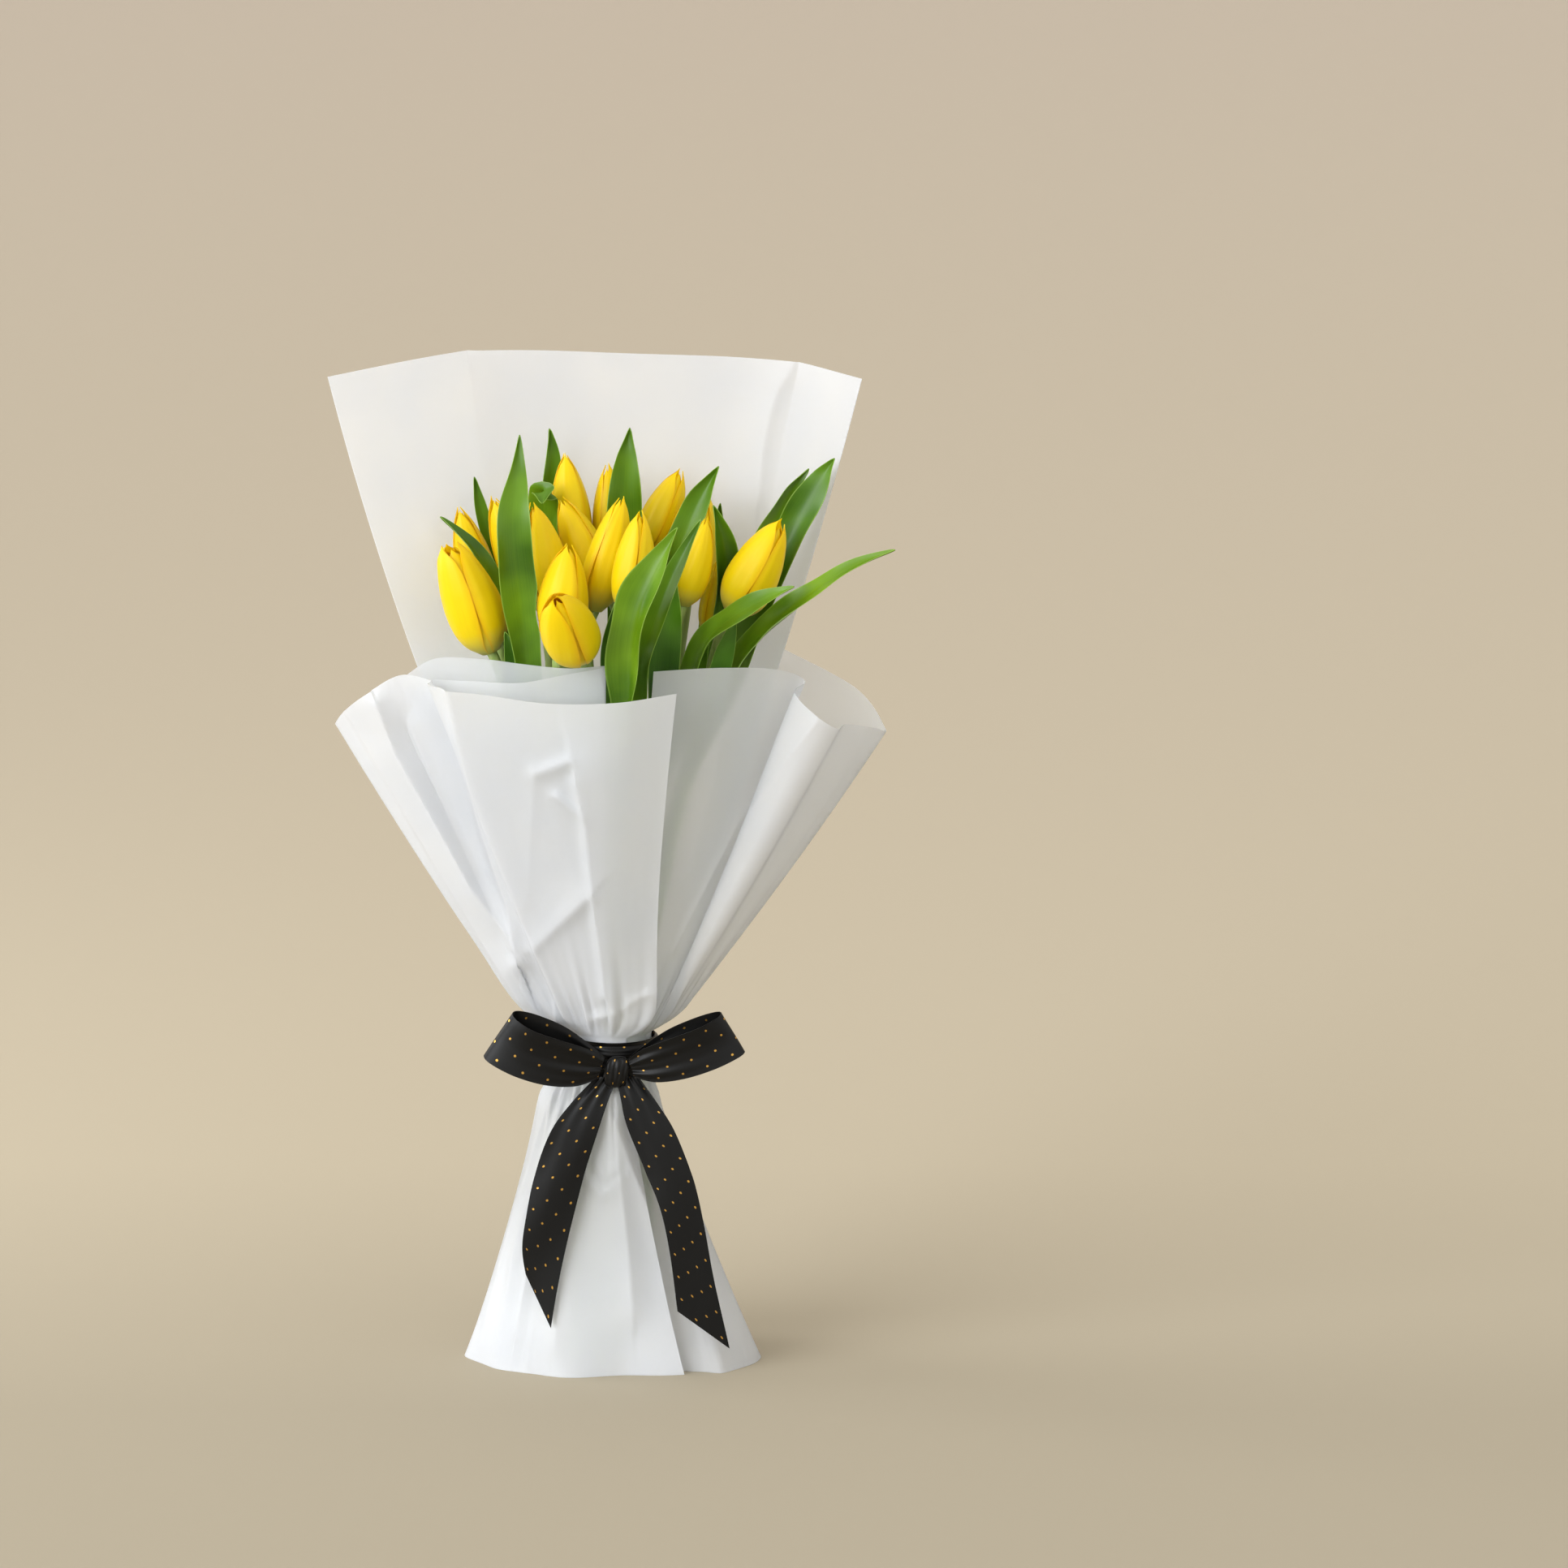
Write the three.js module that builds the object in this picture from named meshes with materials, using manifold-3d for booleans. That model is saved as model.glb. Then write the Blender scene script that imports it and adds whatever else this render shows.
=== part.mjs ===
// A wrapped bunch of yellow tulips: buds, leafy stems, four film sheets and a ribbon bow.
// Millimetres, +Z up, the bunch faces -Y. The origin is on the surface, under the tie.
import * as THREE from "three";
import Module from "manifold-3d";

const wasm = await Module();
wasm.setup();

// Driving dimensions
const stemRadius = 3.2;
const stemTopRadius = 2.6;
const stemSpacing = 6.8;
const stemSplay = 1.7;
const stemTurn = 40;
const bundleBottom = 135;
const bundleTop = 180;
const touchGap = 0.35;
const leafThickness = 0.8;
const filmThickness = 0.7;
const filmGap = 0.5;
const firstFilmRadius = 17.6;
const neckTop = 169;
const neckBottom = 148;
// Next to the tie the gathers stand out, most on the side at each angle below.
const gatherTop = 181;
const gatherBottom = 140;
const gatherEnd = 324;
const gathers = { above: [[178, 32, 17], [5, 35, 8]], below: [[178, 32, 14]] };
const ribbonThickness = 0.8;
const ribbonWidth = 25;
const tieHeight = 158.3;
const budClearance = 1;
const stemClearance = 1;

const yellowPetal = new THREE.MeshStandardMaterial({ color: 0xf9cf12, roughness: 0.55 });
const greenLeaf = new THREE.MeshStandardMaterial({ color: 0x5f9c46, roughness: 0.5 });
const frostedFilm = new THREE.MeshStandardMaterial({ color: 0xe9eae8, roughness: 0.7 });
const blackSatin = new THREE.MeshStandardMaterial({ color: 0x14110f, roughness: 0.35 });

// Each flower: the foot and the tip of its bud, the bud's radius, how far it has
// opened, the turn of its petals, and its place in the bundle in stem spacings.
const flowers = {
  a: { foot: [-58.5, -30, 367.5], tip: [-79.5, -36, 423.5], radius: 14.3, open: 1, turn: 208,
    slot: [-1.5, -1] },
  b: { foot: [-61.5, 7, 382], tip: [-75.5, 6, 434], radius: 9.7, open: 0, turn: 250, slot: [-1.5, 1] },
  c: { foot: [-38.5, 1, 390], tip: [-58.5, 1, 440], radius: 10.6, open: 0.1, turn: 240, slot: [-2, 0] },
  d: { foot: [-27, -19, 386], tip: [-38, -21, 440.5], radius: 10.9, open: 0.1, turn: 290, slot: [-1, 0] },
  e: { foot: [-18, 16, 406], tip: [-22.8, 18, 459], radius: 10, open: 0, turn: 248, slot: [-1, 2] },
  f: { foot: [-3, -4, 392], tip: [-25, -4, 440], radius: 10.4, open: 0.3, turn: 245, slot: [-0.5, 1] },
  g: { foot: [1, 20, 401], tip: [-2, 22, 453], radius: 9.5, open: 0.1, turn: 290, slot: [0, 2] },
  h: { foot: [-7.5, -25, 387], tip: [6.5, -26, 445], radius: 10.4, open: 0.2, turn: 292, slot: [0, 0] },
  i: { foot: [-24, -43, 374], tip: [-19.5, -45, 424.5], radius: 12.3, open: 0.2, turn: 236,
    slot: [-0.5, -1] },
  j: { foot: [-14, -60, 370.5], tip: [-25.5, -98, 407.5], radius: 14.2, open: 0.4, turn: 214,
    slot: [0.5, -1] },
  k: { foot: [10, -43, 388], tip: [15.5, -44, 440.5], radius: 10.8, open: 0, turn: 206, slot: [0.5, 1] },
  l: { foot: [15.5, 30, 400], tip: [34.4, 30.5, 448.5], radius: 11, open: 0.2, turn: 212, slot: [1, 2] },
  m: { foot: [38, 10, 391], tip: [44.5, 11, 445], radius: 13, open: 0.2, turn: 235, slot: [1.5, 1] },
  n: { foot: [36, -24, 389.5], tip: [48, -27, 434.5], radius: 9.3, open: 0, turn: 270, slot: [1.5, -1] },
  o: { foot: [51, -5, 368], tip: [54, -4, 411], radius: 8.5, open: 0, turn: 290, slot: [1, 0] },
  p: { foot: [60.5, -25, 385], tip: [85, -30, 433], radius: 13, open: 0.3, turn: 206, slot: [2, 0] },
};

// Each leaf: its stem, the way its hollow side faces, how deeply it is cupped at its
// root and at its tip, and its middle line from root to tip as x, y, z and half width.
const leaves = [
  { stem: "a", face: [0.25, -1, 0.1], cup: [0.5, 0.25],
    line: [[-38, -19, 272, 3], [-36.5, -28, 308, 5], [-38.5, -35.5, 345, 5.8],
      [-41, -41, 371, 7], [-43.5, -44.5, 395, 9.2], [-46, -44.5, 418, 9],
      [-46.8, -43, 438, 7.8], [-44.6, -40, 456, 4.8], [-43.5, -36, 476, 0.8]] },
  { stem: "e", face: [0.5, -1, 0], cup: [0.6, 0.6],
    line: [[-17, 13, 285, 3], [-24, 20, 345, 5], [-29, 29, 395, 6], [-31, 32, 430, 6.2],
      [-29.5, 33, 452, 4.2], [-31, 34, 468, 0.8]] },
  { stem: "c", face: [-0.2, -1, 0.2], cup: [0.2, 0.2],
    line: [[-25, -4, 285, 3], [-27, 1, 340, 5], [-29, 10, 395, 6], [-33, 10, 425, 7.6],
      [-33, 3, 442, 7.4], [-33.5, -6, 437, 1.5]] },
  { stem: "b", face: [0.1, -1, 0], cup: [0.4, 0.4],
    line: [[-40, 5, 285, 3], [-48, 12, 345, 4], [-54, 18, 385, 4], [-58.5, 19.5, 407, 3.8],
      [-64.5, 20, 429, 3.2], [-68, 19.5, 446, 0.8]] },
  { stem: "c", face: [0.5, -0.4, 0.7], cup: [0.3, 0.3],
    line: [[-27, -5, 295, 3], [-38, -15, 335, 4.5], [-46, -20, 372, 6], [-55, -19, 397, 5.8],
      [-68, -17, 418, 4.8], [-83.5, -15, 432, 0.8]] },
  { stem: "g", face: [0.15, -1, 0], cup: [0.3, 0.45],
    line: [[1, 14, 285, 3], [3, 11, 330, 5], [5, 8, 370, 7.2], [6.5, 6, 405, 8.6],
      [6.5, 5.5, 431, 9], [7, 5.5, 446, 7.4], [8, 6, 460, 4.6], [9.5, 8, 472.5, 0.8]] },
  { stem: "n", face: [-0.3, -1, 0.1], cup: [0.3, 0.5],
    line: [[25, -16, 288, 3], [24.5, -14, 335, 5], [25.5, -13, 375, 6], [30, -12.5, 405, 6.8],
      [36.5, -12.5, 423, 7.2], [44, -12, 440, 6], [53.5, -12, 456.5, 0.8]] },
  { stem: "j", face: [-0.6, -0.75, 0.2], cup: [0.95, 0.45],
    line: [[-5, -38, 272, 3], [4, -43, 305, 4.2], [7, -56, 335, 6.2], [8, -69, 358, 8.6],
      [9.8, -75, 380, 11.2], [15, -76.5, 401, 10.8], [24.5, -76, 420, 6.6],
      [34, -74, 436.5, 0.8]] },
  { stem: "k", face: [-0.5, -0.9, 0.2], cup: [0.35, 0.25],
    line: [[6, -17, 290, 3], [11, -35, 320, 4.5], [14.5, -48, 346, 5.2], [16.5, -57, 369, 5.4],
      [23.5, -60, 391, 5.2], [33, -60, 414, 4.6], [45.5, -58, 438, 0.8]] },
  { stem: "n", face: [0.1, -1, 0], cup: [0.35, 0.35],
    line: [[27, -18, 298, 3], [25, -34, 335, 6], [27, -44, 368, 8], [29, -46, 388, 6.5],
      [33, -46, 404, 0.8]] },
  { stem: "p", face: [0.45, -1, 0], cup: [0.7, 0.7],
    line: [[41, -16, 295, 3], [48, -14, 335, 5], [53, -14, 365, 6], [57, -15, 394, 6.4],
      [56.5, -17, 418, 5.4], [51, -18, 438, 0.8]] },
  { stem: "o", face: [0.5, -0.9, 0], cup: [0.35, 0.35],
    line: [[34, -2, 300, 3], [50, 0, 345, 5], [58, 2, 376, 6], [65, 3, 399, 6.2],
      [74, 4, 414.5, 6], [81.5, 4.5, 428, 5.2], [89.5, 5, 442, 3.6], [98, 5, 452.5, 0.8]] },
  { stem: "p", face: [-0.35, -0.9, 0.25], cup: [0.3, 0.3],
    line: [[44, -16, 300, 3], [58, -10, 345, 6], [70, -9, 380, 7.5], [80, -9, 404, 8],
      [90, -9, 425, 8.4], [98.5, -9, 440.5, 7.6], [104.5, -9, 451, 5], [110.5, -9, 460, 0.8]] },
  { stem: "n", face: [-0.5, -0.55, 0.7], cup: [0.4, 0.25],
    line: [[28, -19, 305, 3], [34, -32, 338, 6], [40, -38, 360, 7.6], [47.5, -43, 376.5, 8],
      [58, -48, 387, 7.6], [69.5, -52, 394.5, 6.2], [80, -55, 400, 4.2], [90.5, -57, 404.5, 0.8]] },
  { stem: "p", face: [-0.5, -0.5, 0.75], cup: [0.5, 0.35],
    line: [[43, -18, 300, 3], [50, -23, 328, 5.5], [61, -29, 360, 7.2], [73, -35, 377, 7.8],
      [85, -40, 388, 7.2], [97.5, -44, 399, 6.2], [111, -46, 408.5, 4.8],
      [125, -46.5, 415.5, 3.2], [140, -47, 421, 0.8]] },
  { stem: "a", face: [0, -1, 0], cup: [0.2, 0.2],
    line: [[-45, -24, 300, 3], [-43, -30, 335, 5], [-46, -37, 362, 5.5], [-51, -47, 380, 0.8]] },
  { stem: "h", face: [0, -1, 0], cup: [0.3, 0.3],
    line: [[-4, -13, 290, 3], [0, -30, 325, 4.6], [1, -45, 352, 5.2], [1.5, -56, 375, 5],
      [4, -58, 398, 0.8]] },
  { stem: "p", face: [0.2, -1, 0], cup: [0.25, 0.25],
    line: [[44, -18, 302, 3], [48, -29, 335, 5.5], [56, -38, 366, 5], [62, -40, 386, 0.8]] },
  { stem: "m", face: [-0.2, -1, 0], cup: [0.3, 0.3],
    line: [[31, 12, 295, 3], [44, 24, 345, 5], [52, 27, 400, 5], [54, 24, 432, 0.8]] },
];

// Each sheet is a row of folds. A fold is the point on the top edge, the angle at the
// tie, and the point on the hem. The ring is the sheet's place in the wrap at the tie.
const sheets = {
  back_sheet: { ring: 0, bulge: 0.45, columns: 22, folds: [
    [[-138, -18, 502], 182, [-60, 2]], [[-107, 14, 504], 160, [-60, 18]],
    [[-72, 46, 506], 138, [-46, 36]], [[-36, 51, 505], 116, [-27, 45]],
    [[10, 53, 503], 90, [2, 47]], [[55, 50, 502], 66, [29, 44]], [[93, 40, 501], 42, [48, 35]],
    [[108, 18, 500], 20, [59, 18]], [[124, -5, 499], -2, [60, 4]]] },
  inner_sheet: { ring: 0, bulge: 0.1, columns: 22, turnsBackAfter: 5, folds: [
    [[-104, -13, 350], 188], [[-87, -19, 361.5], 197], [[-63, -33, 364], 208],
    [[-42, -47, 364], 223], [[-20, -55.5, 363.5], 240], [[-4, -60, 365.5], 254],
    [[-3, -64, 365.5], 257], [[-20, -68, 363], 243], [[-43, -69, 359], 226],
    [[-68, -56, 357.5], 209], [[-98, -27, 353], 195]] },
  right_sheet: { ring: 1, bulge: 0.1, columns: 28, folds: [
    [[85, 44, 355], 60, [40, 46]], [[122, 20, 339], 38, [63, 26]], [[136, 2, 322], 18, [73, 4]],
    [[130, -20, 327], 5, [71, -10]], [[116, -37, 332], -7, [66, -22]],
    [[112, -54, 333], -16, [59, -31]], [[102, -58, 340], -23, [55, -33]],
    [[91, -44, 349], -30, [50, -32]], [[96, -27, 352], -37, [45, -30]],
    [[84, -36, 359], -46, [38, -30]], [[59, -50, 363], -59, [26, -31]],
    [[22, -61, 363], -74, [7, -33]]] },
  front_sheet: { ring: 2, bulge: 0.06, columns: 30, edgeStands: 17, folds: [
    [[-99, 42, 344], 124, [-50, 42]], [[-127, 14, 332], 148, [-68, 22]],
    [[-137, 0, 325], 166, [-74, 2]], [[-132, -10, 334], 179, [-71, -10]],
    [[-119, -27, 347], 192, [-63, -21]], [[-103, -33, 356], 203, [-55, -26]],
    [[-88, -46, 356], 212, [-48, -30]], [[-87, -61, 356], 220, [-43, -34]],
    [[-62, -76, 355], 233, [-32, -39]], [[-30, -86, 352], 251, [-14, -40]],
    [[3, -90, 353], 271, [11, -38]], [[32, -82, 356], 290, [35, -35]]] },
};

// Small helpers

const degrees = Math.PI / 180;

function vector(values) {
  return new THREE.Vector3(values[0], values[1], values[2]);
}

// The value at t of a curve through evenly spaced numbers, rounded through each.
function smoothValue(values, t) {
  const last = values.length - 1;
  const place = Math.min(Math.max(t, 0), 1) * last;
  const k = Math.min(Math.floor(place), last - 1);
  const f = place - k;
  const before = values[Math.max(k - 1, 0)];
  const after = values[Math.min(k + 2, last)];
  const slopeIn = (values[k + 1] - before) / 2;
  const slopeOut = (after - values[k]) / 2;
  const rise = values[k + 1] - values[k];
  return values[k] + f * (slopeIn + f * (3 * rise - 2 * slopeIn - slopeOut
    + f * (slopeIn + slopeOut - 2 * rise)));
}

function smoothPoint(points, t) {
  return new THREE.Vector3(
    smoothValue(points.map((p) => p[0]), t),
    smoothValue(points.map((p) => p[1]), t),
    smoothValue(points.map((p) => p[2]), t),
  );
}

// The value at t of a line through [t, value] pairs.
function lineValue(pairs, t) {
  if (t <= pairs[0][0]) return pairs[0][1];
  for (let k = 1; k < pairs.length; k += 1) {
    if (t <= pairs[k][0]) {
      const f = (t - pairs[k - 1][0]) / (pairs[k][0] - pairs[k - 1][0]);
      return pairs[k - 1][1] + f * (pairs[k][1] - pairs[k - 1][1]);
    }
  }
  return pairs[pairs.length - 1][1];
}

// A closed body from corner points and triangles, turned so that its faces look out.
function closedBody(points, triangles) {
  let volume = 0;
  for (const [p, q, r] of triangles) {
    volume += points[p].dot(new THREE.Vector3().crossVectors(points[q], points[r]));
  }
  const turned = volume < 0 ? triangles.map(([p, q, r]) => [p, r, q]) : triangles;
  return new wasm.Manifold(new wasm.Mesh({
    numProp: 3,
    vertProperties: new Float32Array(points.flatMap((p) => [p.x, p.y, p.z])),
    triVerts: new Uint32Array(turned.flat()),
  }));
}

// A blade between two grids of points, split into triangles alike on both faces.
function blade(front, back) {
  const rows = front.length;
  const columns = front[0].length;
  const points = [...front.flat(), ...back.flat()];
  const under = rows * columns;
  const at = (i, j) => i * columns + j;
  const triangles = [];
  for (let i = 0; i < rows - 1; i += 1) {
    for (let j = 0; j < columns - 1; j += 1) {
      const halves = [[at(i, j), at(i, j + 1), at(i + 1, j + 1)],
        [at(i, j), at(i + 1, j + 1), at(i + 1, j)]];
      for (const [p, q, r] of halves) {
        triangles.push([p, q, r], [p + under, r + under, q + under]);
      }
    }
  }
  const rim = [];
  for (let j = 0; j < columns; j += 1) rim.push(at(0, j));
  for (let i = 1; i < rows; i += 1) rim.push(at(i, columns - 1));
  for (let j = columns - 2; j >= 0; j -= 1) rim.push(at(rows - 1, j));
  for (let i = rows - 2; i > 0; i -= 1) rim.push(at(i, 0));
  rim.forEach((p, k) => {
    const q = rim[(k + 1) % rim.length];
    triangles.push([p, p + under, q + under], [p, q + under, q]);
  });
  return closedBody(points, triangles);
}

// The unit normal of a grid of points at one corner, from its neighbours.
function gridNormal(grid, i, j) {
  const rows = grid.length;
  const columns = grid[0].length;
  const along = new THREE.Vector3().subVectors(
    grid[Math.min(i + 1, rows - 1)][j], grid[Math.max(i - 1, 0)][j]);
  const across = new THREE.Vector3().subVectors(
    grid[i][Math.min(j + 1, columns - 1)], grid[i][Math.max(j - 1, 0)]);
  return along.cross(across).normalize();
}

// A blade of even thickness whose middle surface is the grid.
function thickBlade(grid, thickness) {
  const face = (side) => grid.map((row, i) => row.map((point, j) =>
    point.clone().addScaledVector(gridNormal(grid, i, j), side * thickness / 2)));
  return blade(face(1), face(-1));
}

// A body lofted through rings of equal length, closed at both ends by one point each.
function lofted(rings, firstEnd, lastEnd) {
  const n = rings[0].length;
  const points = [...rings.flat(), firstEnd, lastEnd];
  const start = points.length - 2;
  const triangles = [];
  rings.forEach((ring, i) => {
    for (let j = 0; j < n; j += 1) {
      const next = (j + 1) % n;
      if (i === 0) triangles.push([start, next, j]);
      if (i === rings.length - 1) triangles.push([start + 1, i * n + j, i * n + next]);
      else {
        triangles.push([i * n + j, i * n + next, (i + 1) * n + next]);
        triangles.push([i * n + j, (i + 1) * n + next, (i + 1) * n + j]);
      }
    }
  });
  return closedBody(points, triangles);
}

function meshOf(name, body, material) {
  const made = body.getMesh();
  const geometry = new THREE.BufferGeometry();
  geometry.setAttribute("position", new THREE.BufferAttribute(made.vertProperties, 3));
  geometry.setIndex(new THREE.BufferAttribute(made.triVerts, 1));
  geometry.computeVertexNormals();
  const mesh = new THREE.Mesh(geometry, material);
  mesh.name = name;
  return mesh;
}

// Buds

const budProfile = [[0, 0.3], [0.05, 0.58], [0.12, 0.8], [0.22, 0.95], [0.33, 1],
  [0.45, 0.97], [0.6, 0.86], [0.72, 0.71], [0.83, 0.53], [0.92, 0.34], [1, 0.15]];

function budRadius(flower, t) {
  const spread = flower.open * 0.22 * Math.min(Math.max(t, 0), 1) ** 3;
  return flower.radius * (lineValue(budProfile, t) + spread);
}

// The bud's own frame: its foot, length and three directions.
function budFrame(flower) {
  const foot = vector(flower.foot);
  const up = vector(flower.tip).sub(foot);
  const length = up.length();
  up.normalize();
  const side = new THREE.Vector3().crossVectors(new THREE.Vector3(0, 1, 0), up).normalize();
  const forth = new THREE.Vector3().crossVectors(up, side);
  return { foot, up, length, side, forth };
}

function budPoint(frame, t, angle, radius) {
  return frame.foot.clone()
    .addScaledVector(frame.up, t * frame.length)
    .addScaledVector(frame.side, radius * Math.cos(angle))
    .addScaledVector(frame.forth, radius * Math.sin(angle));
}

const budSteps = [0, 0.1, 0.25, 0.45, 0.65, 0.8, 0.92, 1];
const outerPetalSpan = [[0, 50], [0.3, 55], [0.6, 55], [0.8, 49], [0.92, 36], [1, 24]];
const outerReach = 0.97;
const edgeDip = 0.07;
const edgeStand = 0.045;
const innerDrop = 0.09;
const seamLean = 16;

// One turn round the bud. Three outer petals stand off it, each in five points, and
// between two of them an inner petal shows, stepped in under both of their edges.
function budRing(flower, frame, step) {
  const span = lineValue(outerPetalSpan, step) * degrees;
  const ring = [];
  const edgeHeight = step * (outerReach - edgeDip * step);
  for (let k = 0; k < 3; k += 1) {
    const middle = (flower.turn + 120 * k + seamLean * step) * degrees;
    for (const c of [-1, -0.5, 0, 0.5, 1]) {
      const t = step * (outerReach - edgeDip * c * c * step);
      const stand = 1 + edgeStand * c * c * Math.sin(Math.PI * step);
      ring.push(budPoint(frame, t, middle + c * span, budRadius(flower, t) * stand));
    }
    const within = 60 * degrees - span;
    for (const c of [-1, 0, 1]) {
      const t = c === 0 ? step : edgeHeight;
      const drop = 1 - innerDrop * Math.sin(Math.PI * Math.min(step + 0.1, 1));
      const angle = middle + 60 * degrees + c * within;
      ring.push(budPoint(frame, t, angle, budRadius(flower, t) * drop - 0.05));
    }
  }
  return ring;
}

function bloom(name, flower) {
  const frame = budFrame(flower);
  const rings = budSteps.map((step) => budRing(flower, frame, step));
  const hollow = budPoint(frame, outerReach - 1.3 * edgeDip, 0, 0);
  return meshOf("bloom_" + name, lofted(rings, frame.foot.clone(), hollow), yellowPetal);
}

// Stems

// The stem's middle line: splayed and turned below the tie, fanned out above it.
function stemLine(flower) {
  const rowDepth = stemSpacing * Math.sin(60 * degrees);
  const slot = [flower.slot[0] * stemSpacing, flower.slot[1] * rowDepth];
  const points = [0, 0.33, 0.67, 1].map((f) => {
    const low = (1 - f) ** 1.2;
    const turn = stemTurn * degrees * low;
    const scale = 1 + (stemSplay - 1) * low;
    return [
      scale * (slot[0] * Math.cos(turn) - slot[1] * Math.sin(turn)),
      scale * (slot[0] * Math.sin(turn) + slot[1] * Math.cos(turn)),
      f * bundleBottom,
    ];
  });
  points.push([slot[0], slot[1], bundleTop]);
  const frame = budFrame(flower);
  const bend = frame.foot.clone().addScaledVector(frame.up, -16);
  for (const f of [0.25, 0.5, 0.75, 1]) {
    const out = f ** 1.12;
    points.push([
      slot[0] + (bend.x - slot[0]) * out,
      slot[1] + (bend.y - slot[1]) * out,
      bundleTop + (bend.z - bundleTop) * f,
    ]);
  }
  const end = frame.foot.clone().addScaledVector(frame.up, -touchGap);
  points.push([end.x, end.y, end.z]);
  return points;
}

const stemSides = 6;

function stemBody(line) {
  const rings = line.map((point, i) => {
    const ahead = vector(line[Math.min(i + 1, line.length - 1)]);
    const along = ahead.sub(vector(line[Math.max(i - 1, 0)])).normalize();
    if (i === 0) along.set(0, 0, 1);
    const side = new THREE.Vector3().crossVectors(new THREE.Vector3(0, 1, 0), along).normalize();
    const forth = new THREE.Vector3().crossVectors(along, side);
    const f = i / (line.length - 1);
    const radius = stemRadius + (stemTopRadius - stemRadius) * f;
    return Array.from({ length: stemSides }, (_, k) => {
      const angle = k * 2 * Math.PI / stemSides;
      return vector(point)
        .addScaledVector(side, radius * Math.cos(angle))
        .addScaledVector(forth, radius * Math.sin(angle));
    });
  });
  return lofted(rings, vector(line[0]), vector(line[line.length - 1]));
}

// Leaves

const stemLines = Object.fromEntries(
  Object.entries(flowers).map(([name, flower]) => [name, stemLine(flower)]));

// A point is moved out of any bud it would enter.
function bentOffBuds(point) {
  for (const flower of Object.values(flowers)) {
    const frame = budFrame(flower);
    const offset = point.clone().sub(frame.foot);
    const height = offset.dot(frame.up);
    const t = height / frame.length;
    offset.addScaledVector(frame.up, -height);
    const distance = offset.length();
    const clear = budRadius(flower, Math.min(Math.max(t, 0), 1)) * (1 + edgeStand) + budClearance;
    if (t < -0.04 || t > 1.06 || distance >= clear) continue;
    point.addScaledVector(offset, (clear - distance) / distance);
  }
  return point;
}

// A point is moved level off any stem but its own.
function bentOffStems(point, own) {
  for (const [name, line] of Object.entries(stemLines)) {
    if (name === own || point.z > line[line.length - 1][2]) continue;
    const x = lineValue(line.map((p) => [p[2], p[0]]), point.z);
    const y = lineValue(line.map((p) => [p[2], p[1]]), point.z);
    const away = new THREE.Vector3(point.x - x, point.y - y, 0);
    const clear = stemRadius + stemClearance;
    if (away.length() < clear) point.addScaledVector(away.clone().normalize(), clear - away.length());
  }
  return point;
}

const leafColumns = [-1, 0, 1];

// A leaf grows out of the middle of its stem, at the height of its first point.
function rootedLine(leaf) {
  const line = stemLines[leaf.stem];
  const [, , height, half] = leaf.line[0];
  const x = lineValue(line.map((p) => [p[2], p[0]]), height);
  const y = lineValue(line.map((p) => [p[2], p[1]]), height);
  return [[x, y, height, half], ...leaf.line.slice(1)];
}

function leafBody(leaf) {
  const line = rootedLine(leaf);
  const rows = line.length + 3;
  const grid = [];
  for (let i = 0; i < rows; i += 1) {
    const t = i / (rows - 1);
    const middle = smoothPoint(line, t);
    const ahead = smoothPoint(line, Math.min(t + 0.02, 1));
    const along = ahead.sub(smoothPoint(line, Math.max(t - 0.02, 0))).normalize();
    const across = new THREE.Vector3().crossVectors(along, vector(leaf.face)).normalize();
    const hollow = new THREE.Vector3().crossVectors(across, along);
    const half = Math.max(smoothValue(line.map((p) => p[3]), t), 0.7);
    const cup = leaf.cup[0] + (leaf.cup[1] - leaf.cup[0]) * t;
    grid.push(leafColumns.map((c) => {
      const wave = c * 0.06 * half * Math.sin(9 * t + 2 * c);
      const point = middle.clone()
        .addScaledVector(across, c * half)
        .addScaledVector(hollow, cup * half * (c * c - 0.5) + wave);
      return i === 0 ? point : bentOffStems(bentOffBuds(point), leaf.stem);
    }));
  }
  return thickBlade(grid, leafThickness);
}

function leafyStem(name) {
  const own = leaves.filter((leaf) => leaf.stem === name);
  const bodies = [stemBody(stemLines[name]), ...own.map(leafBody)];
  return meshOf("stem_" + name, wasm.Manifold.union(bodies).simplify(0.02), greenLeaf);
}

// Film sheets

const upperSteps = [1, 0.62, 0.28];
const lowerSteps = [0, 1 - gatherBottom / neckBottom, 0.5, 1];

// How far the gathers stand out at this angle and height.
function gatherAt(angle, z) {
  const rows = z > neckTop ? gathers.above : gathers.below;
  const most = rows.reduce((sum, [side, width, reach]) => {
    const turn = (angle / degrees - side + 540) % 360 - 180;
    return sum + reach * Math.exp(-((turn / width) ** 2));
  }, 0);
  return most * lineValue([[0, 0], [gatherBottom, 1], [neckBottom, 0], [neckTop, 0], [gatherTop, 1],
    [gatherEnd, 0]], z);
}

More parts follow.
